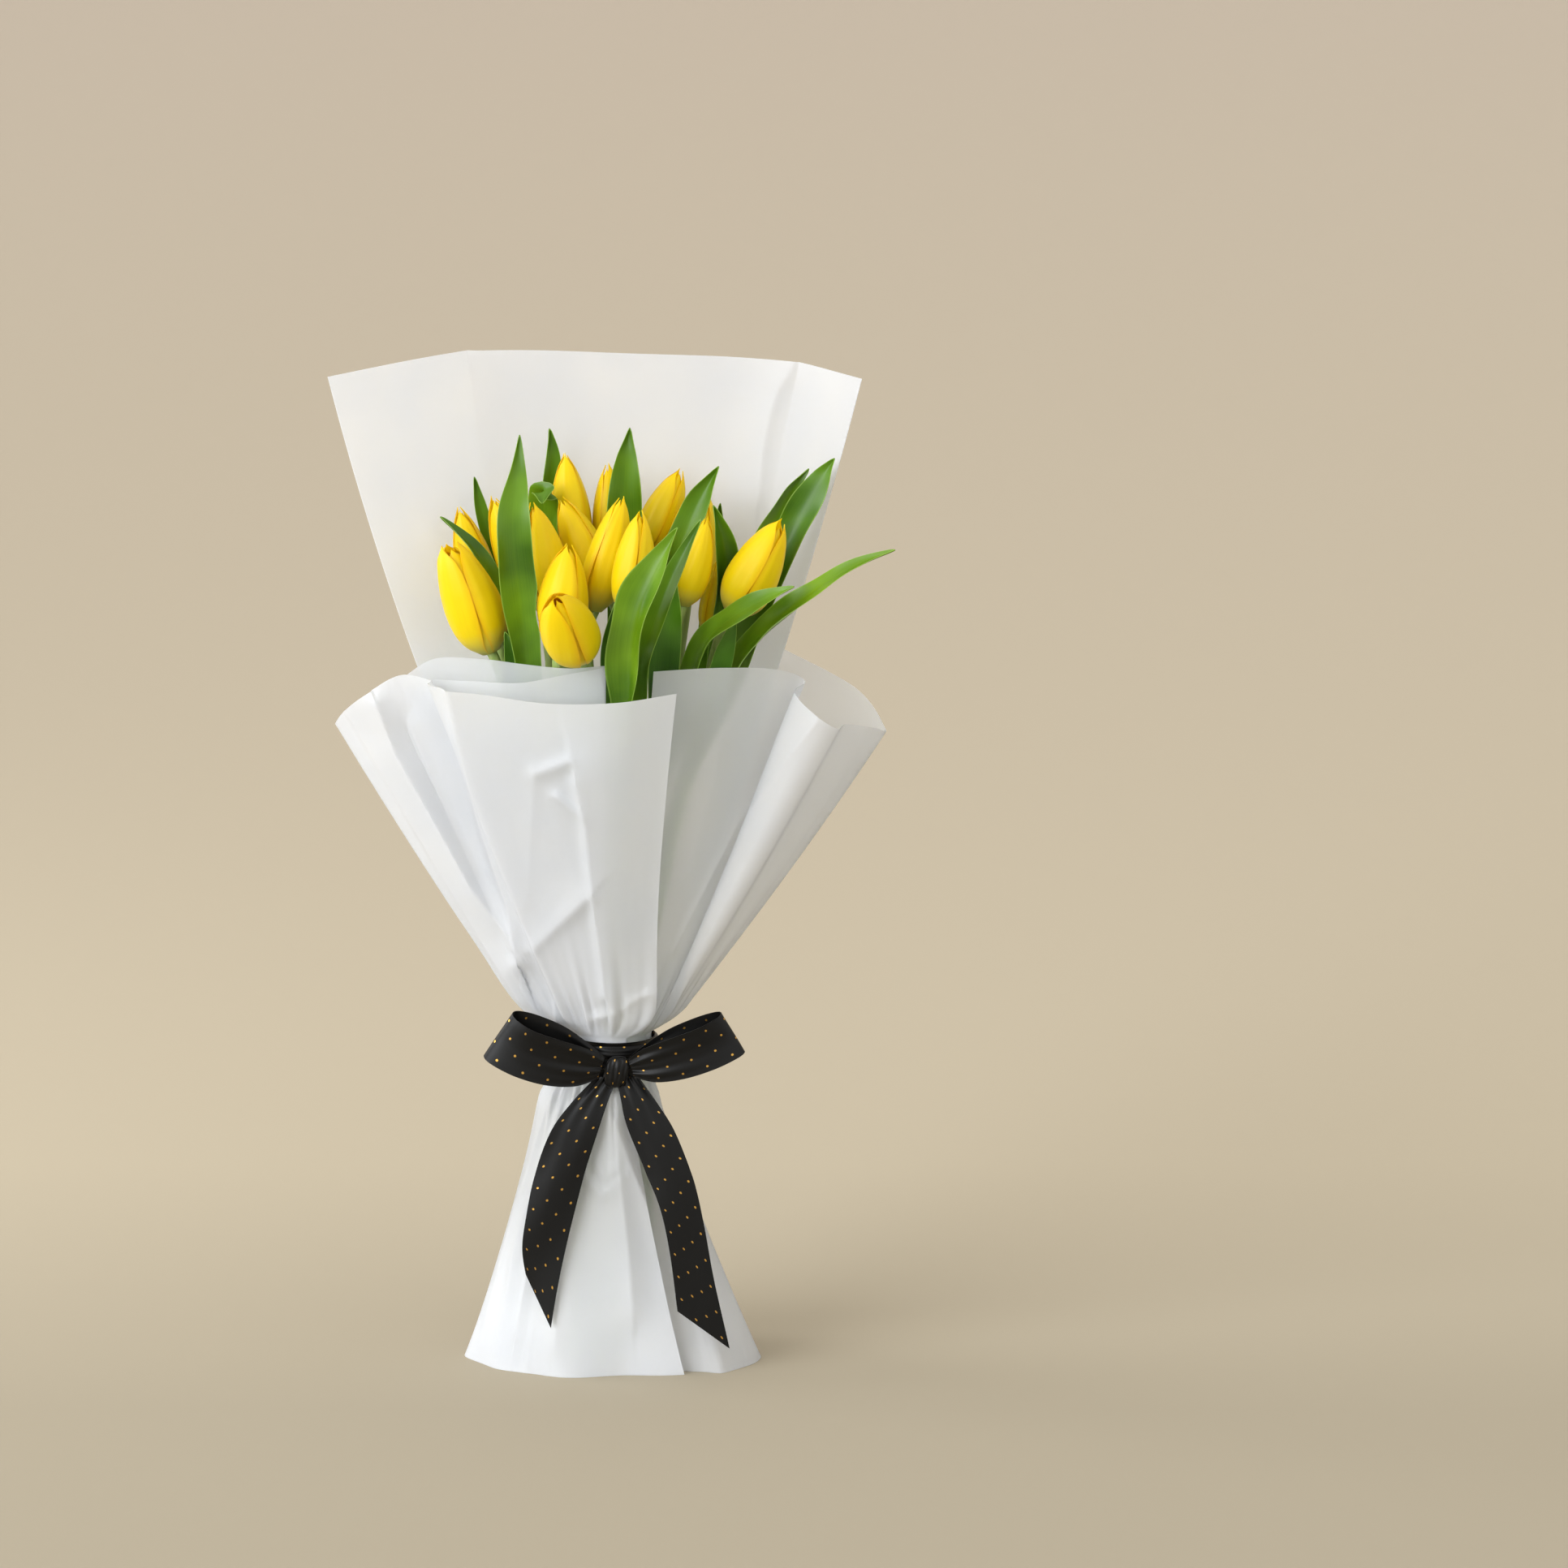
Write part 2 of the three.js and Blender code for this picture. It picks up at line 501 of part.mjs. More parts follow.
function filmColumn(sheet, u) {
  const folds = sheet.folds;
  const top = smoothPoint(folds.map((fold) => fold[0]), u);
  const angle = smoothValue(folds.map((fold) => fold[1]), u) * degrees;
  const place = u * (folds.length - 1);
  const after = sheet.turnsBackAfter;
  const outward = after ? Math.min(Math.max(place - after + 1, 0), 1) : 0;
  const radius = firstFilmRadius + filmThickness / 2
    + (sheet.ring + outward) * (filmThickness + filmGap);
  const neck = new THREE.Vector3(radius * Math.cos(angle), radius * Math.sin(angle), neckTop);
  const low = neck.clone().setZ(neckBottom);
  const lastStep = (gatherTop - neckTop) / (top.z - neckTop);
  const column = [...upperSteps, lastStep, 0].map((s) => {
    const out = s + sheet.bulge * s * (1 - s);
    const point = neck.clone().lerp(top, out).setZ(neckTop + (top.z - neckTop) * s);
    // The free edge of the sheet springs sideways above the tie.
    const spring = (sheet.edgeStands ?? 0) * Math.exp(-s / 0.4) * (1 - Math.exp(-s / 0.04));
    point.x += spring * Math.max((u - 0.8) / 0.2, 0) ** 1.5;
    return point;
  });
  if (folds[0].length < 3) column.push(low);
  else {
    const hem = smoothPoint(folds.map((fold) => [...fold[2], 0]), u);
    column.push(...lowerSteps.map((s) => low.clone().lerp(hem, s)));
  }
  for (const point of column) {
    const radial = Math.hypot(point.x, point.y);
    const stand = 1 + gatherAt(Math.atan2(point.y, point.x), point.z) / radial;
    point.set(point.x * stand, point.y * stand, point.z);
  }
  return column;
}

function filmSheet(name, sheet) {
  const grid = [];
  for (let k = 0; k <= sheet.columns; k += 1) grid.push(filmColumn(sheet, k / sheet.columns));
  return meshOf(name, thickFilm(grid), frostedFilm);
}

// Film thickness is level, so that the hem stays flat on the surface.
function thickFilm(grid) {
  const face = (side) => grid.map((row, i) => row.map((point, j) => {
    const normal = gridNormal(grid, i, j).setZ(0).normalize();
    return point.clone().addScaledVector(normal, side * filmThickness / 2);
  }));
  return blade(face(1), face(-1));
}

// Ribbon

const bandRadius = firstFilmRadius + 3 * filmThickness + 3 * filmGap;
// The strip is drawn in to this height where it goes round the neck.
const bandHeight = 19;
const knot = { middle: [2.2, -26.2, 153.5], half: [6, 4.2, 8.2] };

// The ribbon round the neck, a hoop of even thickness.
function ribbonBand() {
  const around = 26;
  const corner = (k, radius, z) => new THREE.Vector3(
    radius * Math.cos(k * 2 * Math.PI / around), radius * Math.sin(k * 2 * Math.PI / around), z);
  const outer = bandRadius + ribbonThickness;
  const bottom = tieHeight - bandHeight / 2;
  const top = tieHeight + bandHeight / 2;
  const points = [];
  for (let k = 0; k < around; k += 1) {
    points.push(corner(k, bandRadius, bottom), corner(k, outer, bottom));
    points.push(corner(k, outer, top), corner(k, bandRadius, top));
  }
  return meshOf("ribbon_band", closedHoop(points, around), blackSatin);
}

// A hoop of four-cornered sections, closed on itself.
function closedHoop(points, around) {
  const triangles = [];
  for (let k = 0; k < around; k += 1) {
    const here = 4 * k;
    const next = 4 * ((k + 1) % around);
    for (let c = 0; c < 4; c += 1) {
      const d = (c + 1) % 4;
      triangles.push([here + c, here + d, next + d], [here + c, next + d, next + c]);
    }
  }
  return closedBody(points, triangles);
}

function ribbonKnot() {
  const sphere = new THREE.SphereGeometry(1, 10, 7);
  const position = sphere.getAttribute("position");
  const rounded = (value, half) => Math.sign(value) * Math.abs(value) ** 0.7 * half;
  const rings = [];
  for (let i = 1; i < 7; i += 1) {
    const ring = [];
    for (let k = 0; k < 10; k += 1) {
      const at = i * 11 + k;
      ring.push(new THREE.Vector3(
        knot.middle[0] + rounded(position.getX(at), knot.half[0]),
        knot.middle[1] + rounded(position.getZ(at), knot.half[1]),
        knot.middle[2] + rounded(position.getY(at), knot.half[2]),
      ));
    }
    rings.push(ring);
  }
  const end = (side) => vector(knot.middle).setZ(knot.middle[2] + side * knot.half[2]);
  return meshOf("ribbon_knot", lofted(rings, end(1), end(-1)), blackSatin);
}

// Loops: reach along the bow, depth in y, half width and rise, from the knot and back to it.
const wideHalf = ribbonWidth / 2;
const loopPath = [[4.6, -29.5, 5.5, 0], [14, -33.5, 10, -1.5], [28, -35.5, 12, -3],
  [43.5, -35.5, wideHalf, -3], [55, -33, wideHalf, -1], [58.4, -29.5, wideHalf, 1],
  [55, -26.2, wideHalf, 2.5], [43, -25.6, wideHalf, 3], [28, -25.6, 11.5, 2.5], [14, -25.8, 8, 1.5],
  [4.6, -26.8, 5, 0.5]];

function ribbonLoop(name, side, tilt) {
  const middle = vector(knot.middle);
  const along = new THREE.Vector3(side * Math.cos(tilt * degrees), 0, Math.sin(tilt * degrees));
  const across = new THREE.Vector3(-side * Math.sin(tilt * degrees), 0, Math.cos(tilt * degrees));
  const count = 2 * loopPath.length;
  const steps = Array.from({ length: count }, (_, k) => {
    const t = k / (count - 1);
    return [0, 1, 2, 3].map((axis) => smoothValue(loopPath.map((p) => p[axis]), t));
  });
  const points = [];
  steps.forEach((step, k) => {
    const before = steps[(k + count - 1) % count];
    const after = steps[(k + 1) % count];
    const run = new THREE.Vector2(after[0] - before[0], after[1] - before[1]).normalize();
    for (const [wide, deep] of [[-1, 0], [-1, 1], [1, 1], [1, 0]]) {
      const reach = knot.half[0] + step[0] - 2.6 + run.y * deep * ribbonThickness;
      const point = new THREE.Vector3(middle.x, 0, middle.z)
        .addScaledVector(along, reach)
        .addScaledVector(across, step[3] + wide * step[2]);
      points.push(point.setY(step[1] - run.x * deep * ribbonThickness));
    }
  });
  return meshOf(name, closedHoop(points, count), blackSatin);
}

// Tails: middle line from the knot down, half width, and the slant of the cut end.
const tails = {
  ribbon_tail_left: { slant: 26, lean: 0.18, line: [[-4.5, -27.3, 144, 5.5], [-12, -29, 136, 9.4],
    [-18.5, -31, 125, 12.2], [-26, -33, 103, 12.5], [-32.4, -35, 76, 10.8], [-36, -36, 56, 9],
    [-37, -36, 38, 6.2]] },
  ribbon_tail_right: { slant: 20, lean: -0.18, line: [[9.5, -27.3, 144, 5.5], [14, -29, 136, 9],
    [19.5, -31, 125, 12], [29, -34, 101, 11.6], [35, -36, 81, 10.8], [39.8, -37.5, 56, 11],
    [45.5, -39, 24, 13]] },
};

function ribbonTail(name, tail) {
  const rows = 10;
  const grid = [];
  for (let i = 0; i < rows; i += 1) {
    const t = i / (rows - 1);
    const middle = smoothPoint(tail.line, t);
    const half = smoothValue(tail.line.map((p) => p[3]), t);
    const cut = tail.slant / 2 * Math.max(2 * t - 1, 0);
    const lean = tail.lean * half * (1 - t);
    grid.push([-1, 0, 1].map((c) => new THREE.Vector3(
      middle.x + c * half,
      middle.y + 1.2 * c * c * (1 - t),
      middle.z + c * (lean - cut),
    )));
  }
  return meshOf(name, thickBlade(grid, ribbonThickness), blackSatin);
}

const bunch = new THREE.Group();
bunch.name = "tulip_bunch";
for (const [name, flower] of Object.entries(flowers)) bunch.add(bloom(name, flower));
for (const name of Object.keys(flowers)) bunch.add(leafyStem(name));
for (const [name, sheet] of Object.entries(sheets)) bunch.add(filmSheet(name, sheet));
bunch.add(ribbonBand());
bunch.add(ribbonKnot());
bunch.add(ribbonLoop("ribbon_loop_left", -1, 18));
bunch.add(ribbonLoop("ribbon_loop_right", 1, 19.5));
for (const [name, tail] of Object.entries(tails)) bunch.add(ribbonTail(name, tail));

export default bunch;
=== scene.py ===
# A bunch of yellow tulips in frosted film, tied with a black satin bow
import math

import bmesh
import bpy
import numpy as np
from mathutils import Matrix, Vector


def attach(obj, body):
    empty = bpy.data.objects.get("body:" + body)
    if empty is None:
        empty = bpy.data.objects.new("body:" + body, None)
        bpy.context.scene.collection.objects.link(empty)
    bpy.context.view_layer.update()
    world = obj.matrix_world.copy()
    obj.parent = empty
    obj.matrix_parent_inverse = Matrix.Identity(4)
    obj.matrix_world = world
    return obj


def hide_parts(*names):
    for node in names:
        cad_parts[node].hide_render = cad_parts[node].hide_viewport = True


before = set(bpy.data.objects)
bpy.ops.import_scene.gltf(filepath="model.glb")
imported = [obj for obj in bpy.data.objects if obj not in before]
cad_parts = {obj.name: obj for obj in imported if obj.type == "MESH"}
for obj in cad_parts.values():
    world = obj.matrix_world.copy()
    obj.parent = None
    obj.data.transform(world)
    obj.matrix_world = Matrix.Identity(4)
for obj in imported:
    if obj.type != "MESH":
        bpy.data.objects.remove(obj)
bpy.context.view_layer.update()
print("frame loaded")

# sizes are in millimetres, apart from the studio and the sheets' flat sizes, which are in metres
mm = 0.001


# colours and nodes

def colour(code):
    # sRGB hex to the linear values that the shaders use
    parts = [int(code[k:k + 2], 16) / 255 for k in (1, 3, 5)]
    linear = [p / 12.92 if p <= 0.04045 else ((p + 0.055) / 1.055) ** 2.4 for p in parts]
    return (*linear, 1.0)


def setStops(ramp, stops):
    # a ramp's places, each with a colour code or a grey value
    while len(ramp.elements) < len(stops):
        ramp.elements.new(0.5)
    for element, (place, value) in zip(ramp.elements, stops):
        element.position = place
        element.color = colour(value) if isinstance(value, str) else (value, value, value, 1)


def addNode(tree, kind, inputs=None, stops=None, **settings):
    # each input takes a node's first output, another output, a colour code or a plain value
    node = tree.nodes.new(kind)
    for name, value in settings.items():
        setattr(node, name, value)
    for socket, value in (inputs or {}).items():
        if isinstance(value, bpy.types.Node):
            tree.links.new(value.outputs[0], node.inputs[socket])
        elif isinstance(value, bpy.types.NodeSocket):
            tree.links.new(value, node.inputs[socket])
        else:
            node.inputs[socket].default_value = colour(value) if isinstance(value, str) else value
    if stops:
        setStops(node.color_ramp, stops)
    return node


def startMaterial(name):
    material = bpy.data.materials.new(name)
    material.use_nodes = True
    material.node_tree.nodes.clear()
    return material, material.node_tree


def bladePattern(tree, look):
    # a petal's or leaf's UV map in parts, the distance from its rim, its veins and their relief
    uv = addNode(tree, "ShaderNodeUVMap", uv_map="UVMap")
    parts = addNode(tree, "ShaderNodeSeparateXYZ", {"Vector": uv})
    drawnOut = addNode(tree, "ShaderNodeMapping", {
        "Vector": uv, "Scale": (look["veinAcross"], look["veinAlong"], 1)})
    veins = addNode(tree, "ShaderNodeTexNoise", {
        "Vector": drawnOut, "Scale": 1.0, "Detail": look["veinDetail"], "Roughness": 0.6})
    inset = addNode(tree, "ShaderNodeMath", {0: parts.outputs["X"], 1: 0.5}, operation="PINGPONG")
    bump = addNode(tree, "ShaderNodeBump", {
        "Height": veins.outputs["Fac"], "Strength": 0.12, "Distance": look["veinDepth"] * mm})
    return parts, inset, veins.outputs["Fac"], bump


# tulip petal: grown with a waxy skin over thin moist tissue, so it has a soft shine and light
# glows inside it

petalLook = {
    "socket": "#c9cf63", "foot": "#ecdf52", "base": "#ffea06", "high": "#ffe600",
    # painted shade: each petal's rim is tinted deeper orange, for the shade in the seams where the petals
    # overlap
    "edge": "#f9c400", "seamShadeShare": [(0.0, 0.6), (0.03, 0.3), (0.12, 0.0)],
    "vein": "#fbd800", "veinShare": [(0.35, 0.0), (0.75, 0.32)],
    "veinAcross": 46, "veinAlong": 1.6, "veinDetail": 3.0, "veinDepth": 0.25,
    "roughness": 0.42, "ior": 1.4, "sheen": 0.05, "sheenRoughness": 0.4, "glow": 0.36,
}


def makePetalMaterial():
    look = petalLook
    material, tree = startMaterial("tulipPetal")
    parts, inset, veins, bump = bladePattern(tree, look)
    body = addNode(tree, "ShaderNodeValToRGB", {"Fac": parts.outputs["Y"]}, [
        (0.0, look["socket"]), (0.1, look["foot"]), (0.24, look["base"]), (1.0, look["high"])])
    # painted shade: deeper orange along each petal's rim, where the seams lie in shade
    seamShadeShare = addNode(tree, "ShaderNodeValToRGB", {"Fac": inset}, look["seamShadeShare"])
    seamShaded = addNode(tree, "ShaderNodeMix", {0: seamShadeShare, 6: body, 7: look["edge"]}, data_type="RGBA")
    veinShare = addNode(tree, "ShaderNodeValToRGB", {"Fac": veins}, look["veinShare"])
    veined = addNode(tree, "ShaderNodeMix", {0: veinShare, 6: seamShaded.outputs[2], 7: look["vein"]},
                     data_type="RGBA")
    surface = addNode(tree, "ShaderNodeBsdfPrincipled", {
        "Base Color": veined.outputs[2], "Normal": bump, "Roughness": look["roughness"],
        "IOR": look["ior"], "Sheen Weight": look["sheen"], "Sheen Roughness": look["sheenRoughness"]})
    glow = addNode(tree, "ShaderNodeBsdfTranslucent", {"Color": veined.outputs[2], "Normal": bump})
    both = addNode(tree, "ShaderNodeMixShader", {0: look["glow"], 1: surface, 2: glow})
    addNode(tree, "ShaderNodeOutputMaterial", {"Surface": both})
    return material


# tulip leaf: grown with a bluish wax bloom, so it is half matt, with a pale thin rim and fine
# veins that run its length

leafLook = {
    # painted light: each leaf's step runs from blue green and darker, for leaves in shade, to yellow green
    # and brighter, for leaves in the light
    "dark": ("#184603", "#4d7803"), "light": ("#417b18", "#86ad1e"), "paintedLightSteps": 10,
    "veinWeight": 0.22, "lightShare": [(0.42, 0.0), (0.82, 1.0)],
    "foot": "#a3bf5c", "footShare": [(0.0, 1.0), (0.3, 0.0)],
    "rim": "#a0c455", "rimShare": [(0.0, 0.8), (0.012, 0.55), (0.035, 0.0)],
    "veinAcross": 60, "veinAlong": 1.1, "veinDetail": 4.0, "veinDepth": 0.2,
    "cloudsPerMetre": 30.0, "roughness": 0.34, "ior": 1.42, "glow": 0.14,
}


def makeLeafMaterial():
    look = leafLook
    material, tree = startMaterial("tulipLeaf")
    parts, inset, veins, bump = bladePattern(tree, look)
    place = addNode(tree, "ShaderNodeTexCoord")
    cloud = addNode(tree, "ShaderNodeTexNoise", {
        "Vector": place.outputs["Object"], "Scale": look["cloudsPerMetre"], "Detail": 2.0})
    # painted light: the whole part of U is the leaf's painted light, from blue green and darker for leaves
    # in shade to yellow green and brighter for leaves in the light
    whole = addNode(tree, "ShaderNodeMath", {0: parts.outputs["X"]}, operation="FLOOR")
    paintedLight = addNode(tree, "ShaderNodeMath", {0: whole, 1: look["paintedLightSteps"]}, operation="DIVIDE")
    dark, light = [
        addNode(tree, "ShaderNodeMix", {0: paintedLight, 6: blueGreen, 7: yellowGreen}, data_type="RGBA")
        for blueGreen, yellowGreen in (look["dark"], look["light"])]
    mottle = addNode(tree, "ShaderNodeMath", {0: veins, 1: look["veinWeight"], 2: cloud.outputs["Fac"]},
                     operation="MULTIPLY_ADD")
    lightShare = addNode(tree, "ShaderNodeValToRGB", {"Fac": mottle}, look["lightShare"])
    body = addNode(tree, "ShaderNodeMix", {0: lightShare, 6: dark.outputs[2], 7: light.outputs[2]},
                   data_type="RGBA")
    footShare = addNode(tree, "ShaderNodeValToRGB", {"Fac": parts.outputs["Y"]}, look["footShare"])
    footed = addNode(tree, "ShaderNodeMix", {0: footShare, 6: body.outputs[2], 7: look["foot"]},
                     data_type="RGBA")
    rimShare = addNode(tree, "ShaderNodeValToRGB", {"Fac": inset}, look["rimShare"])
    rimmed = addNode(tree, "ShaderNodeMix", {0: rimShare, 6: footed.outputs[2], 7: look["rim"]},
                     data_type="RGBA")
    surface = addNode(tree, "ShaderNodeBsdfPrincipled", {
        "Base Color": rimmed.outputs[2], "Normal": bump, "Roughness": look["roughness"],
        "IOR": look["ior"]})
    glow = addNode(tree, "ShaderNodeBsdfTranslucent", {"Color": rimmed.outputs[2]})
    both = addNode(tree, "ShaderNodeMixShader", {0: look["glow"], 1: surface, 2: glow})
    addNode(tree, "ShaderNodeOutputMaterial", {"Surface": both})
    return material


# tulip stem: grown smooth and fleshy, so it is pale green and even, with faint streaks along it

stemLook = {"dark": "#86a24e", "light": "#a6b66c", "streaksPerMetre": (900, 900, 20), "roughness": 0.42}


def makeStemMaterial():
    look = stemLook
    material, tree = startMaterial("tulipStem")
    place = addNode(tree, "ShaderNodeTexCoord")
    drawnOut = addNode(tree, "ShaderNodeMapping", {
        "Vector": place.outputs["Object"], "Scale": look["streaksPerMetre"]})
    streaks = addNode(tree, "ShaderNodeTexNoise", {"Vector": drawnOut, "Scale": 1.0})
    tint = addNode(tree, "ShaderNodeValToRGB", {"Fac": streaks.outputs["Fac"]}, [
        (0.3, look["dark"]), (0.7, look["light"])])
    surface = addNode(tree, "ShaderNodeBsdfPrincipled", {
        "Base Color": tint, "Roughness": look["roughness"]})
    addNode(tree, "ShaderNodeOutputMaterial", {"Surface": surface})
    return material


# film: cast polypropylene, matted on one face, so light passes but shapes behind it blur

filmLook = {
    "haze": "#f5f8fd", "tint": "#fafcff", "hazePerMetre": 26.0, "grainPerMetre": 900.0, "grainDepth": 0.1,
    "roughness": 0.38, "ior": 1.49, "viewRoughness": 0.38, "viewIor": 1.2,
    # light that passes, and how much shows through: least where the wrap lies in two layers
    "through": {"front_sheet": 0.38, "back_sheet": 0.64, "right_sheet": 0.38, "inner_sheet": 0.38},
    "views": {"front_sheet": 0.3, "back_sheet": 0.22, "right_sheet": 0.52, "inner_sheet": 0.54},
    # painted shade: below the tie, under the flare of the film above it, the film is painted greyer: the
    # shade's colour and its top
    "hemPaintedShade": "#efeeec", "plain": "#ffffff", "hemTop": 150,
}


def makeFilmMaterial(sheet):
    look = filmLook
    material, tree = startMaterial("frostedFilm_" + sheet)
    place = addNode(tree, "ShaderNodeTexCoord").outputs["Object"]
    clouds = addNode(tree, "ShaderNodeTexNoise", {
        "Vector": place, "Scale": look["hazePerMetre"], "Detail": 3.0, "Roughness": 0.5})
    haze = addNode(tree, "ShaderNodeValToRGB", {"Fac": clouds.outputs["Fac"]}, [
        (0.3, look["haze"]), (0.7, look["tint"])])
    height = addNode(tree, "ShaderNodeSeparateXYZ", {"Vector": place})
    rise = addNode(tree, "ShaderNodeMapRange", {
        "Value": height.outputs["Z"], "From Max": look["hemTop"] * mm})
    # painted shade: a greyer band below the tie, multiplied into the film's haze
    hem = addNode(tree, "ShaderNodeValToRGB", {"Fac": rise}, [
        (0.2, look["plain"]), (0.6, look["hemPaintedShade"]), (0.85, look["hemPaintedShade"]), (1.0, look["plain"])])
    hazeAndShade = addNode(tree, "ShaderNodeMix", {0: 1.0, 6: haze, 7: hem}, data_type="RGBA",
                     blend_type="MULTIPLY")
    grain = addNode(tree, "ShaderNodeTexNoise", {
        "Vector": place, "Scale": look["grainPerMetre"], "Detail": 2.0})
    bump = addNode(tree, "ShaderNodeBump", {
        "Height": grain.outputs["Fac"], "Strength": 0.05, "Distance": look["grainDepth"] * mm})
    surface = addNode(tree, "ShaderNodeBsdfPrincipled", {
        "Base Color": hazeAndShade.outputs[2], "Normal": bump, "Roughness": look["roughness"],
        "IOR": look["ior"]})
    through = addNode(tree, "ShaderNodeBsdfTranslucent", {"Color": hazeAndShade.outputs[2]})
    frosted = addNode(tree, "ShaderNodeMixShader", {0: look["through"][sheet], 1: surface, 2: through})
    # what lies close behind the film shows through it, blurred by the frosting
    blurred = addNode(tree, "ShaderNodeBsdfRefraction", {
        "Roughness": look["viewRoughness"], "IOR": look["viewIor"]})
    both = addNode(tree, "ShaderNodeMixShader", {0: look["views"][sheet], 1: frosted, 2: blurred})
    addNode(tree, "ShaderNodeOutputMaterial", {"Surface": both})
    return material


# ribbon: polyester satin, woven and pressed, so it shines softly across its threads, with small
# dots of hot-stamped gold foil in staggered rows

ribbonLook = {
    "cloth": "#050505", "roughness": 0.4, "specular": 0.24, "sheen": 0.06, "sheenRoughness": 0.35,
    "foil": "#c79a4a", "foilRoughness": 0.32, "rowEvery": 6.25, "dotEvery": 12.5, "dotSize": 0.6,
    # threads drawn coarser than real ones, which wouldn't show: waves in a millimetre, and depth
    "threads": 0.9, "threadDepth": 0.12,
}


def makeFoilMask(tree, uv):
    # one where a dot lies, from a UV map that counts millimetres: x across the ribbon, y along it
    rows, every = ribbonLook["rowEvery"], ribbonLook["dotEvery"]
    parts = addNode(tree, "ShaderNodeSeparateXYZ", {"Vector": uv})
    row = addNode(tree, "ShaderNodeMath", {0: parts.outputs["X"], 1: rows}, operation="DIVIDE")
    rowNumber = addNode(tree, "ShaderNodeMath", {0: row}, operation="FLOOR")
    odd = addNode(tree, "ShaderNodeMath", {0: rowNumber, 1: 2.0}, operation="MODULO")
    shifted = addNode(tree, "ShaderNodeMath", {0: odd, 1: every / 2, 2: parts.outputs["Y"]},
                      operation="MULTIPLY_ADD")
    # dots lie at the middle of each row, where the ping-pong peaks
    x = addNode(tree, "ShaderNodeMath", {0: parts.outputs["X"], 1: rows / 2}, operation="PINGPONG")
    xOff = addNode(tree, "ShaderNodeMath", {0: x, 1: rows / 2}, operation="SUBTRACT")
    y = addNode(tree, "ShaderNodeMath", {0: shifted, 1: every / 2}, operation="PINGPONG")
    spot = addNode(tree, "ShaderNodeCombineXYZ", {"X": xOff, "Y": y})
    far = addNode(tree, "ShaderNodeVectorMath", {0: spot}, operation="LENGTH")
    return addNode(tree, "ShaderNodeMath", {0: far.outputs["Value"], 1: ribbonLook["dotSize"]},
                   operation="LESS_THAN")


def makeRibbonMaterial():
    look = ribbonLook
    material, tree = startMaterial("blackSatinRibbon")
    uv = addNode(tree, "ShaderNodeUVMap", uv_map="UVMap")
    weave = addNode(tree, "ShaderNodeTexWave", {
        "Vector": uv, "Scale": look["threads"], "Distortion": 0.4}, bands_direction="Y")
    bump = addNode(tree, "ShaderNodeBump", {
        "Height": weave.outputs["Fac"], "Strength": 0.08, "Distance": look["threadDepth"] * mm})
    cloth = addNode(tree, "ShaderNodeBsdfPrincipled", {
        "Normal": bump, "Base Color": look["cloth"], "Roughness": look["roughness"],
        "Specular IOR Level": look["specular"], "Sheen Weight": look["sheen"],
        "Sheen Roughness": look["sheenRoughness"]})
    gold = addNode(tree, "ShaderNodeBsdfPrincipled", {
        "Normal": bump, "Base Color": look["foil"], "Metallic": 1.0, "Roughness": look["foilRoughness"]})
    both = addNode(tree, "ShaderNodeMixShader", {0: makeFoilMask(tree, uv), 1: cloth, 2: gold})
    addNode(tree, "ShaderNodeOutputMaterial", {"Surface": both})
    return material


petalMaterial = makePetalMaterial()
leafMaterial = makeLeafMaterial()
stemMaterial = makeStemMaterial()
filmMaterials = {sheet: makeFilmMaterial(sheet) for sheet in filmLook["views"]}
ribbonMaterial = makeRibbonMaterial()
print("materials made")


# the photo's camera: place in millimetres, tilt down, and focal length in frame pixels; marks on
# the film are placed in millimetres from the origin's pixel, at the size of a pixel at the tie
camera = {
    "place": (85.7, -3879.8, 1083.9), "pitch": 11.5, "focalPixels": 9800, "framePixels": 1932,
    "sensor": 36, "originPixel": (757, 1670), "pixel": 0.41,
}


# curves through points

def smoothValue(values, t):
    # a curve rounded through evenly spaced values, rows of numbers or plain numbers
    values = np.asarray(values, float)
    last = len(values) - 1
    place = np.clip(t, 0, 1) * last
    k = np.minimum(np.floor(place).astype(int), last - 1)
    f = place - k
    if values.ndim > 1:
        f = np.asarray(f)[..., None]
    here, ahead = values[k], values[k + 1]
    slopeIn = (ahead - values[np.maximum(k - 1, 0)]) / 2
    slopeOut = (values[np.minimum(k + 2, last)] - here) / 2
    rise = ahead - here
    bend = 3 * rise - 2 * slopeIn - slopeOut
    twist = slopeIn + slopeOut - 2 * rise
    return here + f * (slopeIn + f * (bend + f * twist))


def lineValue(pairs, t):
    pairs = np.asarray(pairs, float)
    return np.interp(t, pairs[:, 0], pairs[:, 1])


def unit(v):
    v = np.asarray(v, float)
    return v / np.maximum(np.linalg.norm(v, axis=-1, keepdims=True), 1e-9)


# meshes

def finishMesh(name, mesh, material, smoothAngle=50):
    mesh.materials.clear()
    mesh.materials.append(material)
    mesh.polygons.foreach_set("use_smooth", [True] * len(mesh.polygons))
    mesh.set_sharp_from_angle(angle=math.radians(smoothAngle))
    mesh.update()
    obj = bpy.data.objects.new(name, mesh)
    bpy.context.scene.collection.objects.link(obj)
    return obj


def dress(obj, node):
    # the finished piece stands for a node of the frame
    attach(obj, "root")
    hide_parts(node)
    return obj


def cornerVertices(mesh):
    # the vertex at each corner of each face
    vertices = np.empty(len(mesh.loops), int)
    mesh.loops.foreach_get("vertex_index", vertices)
    return vertices


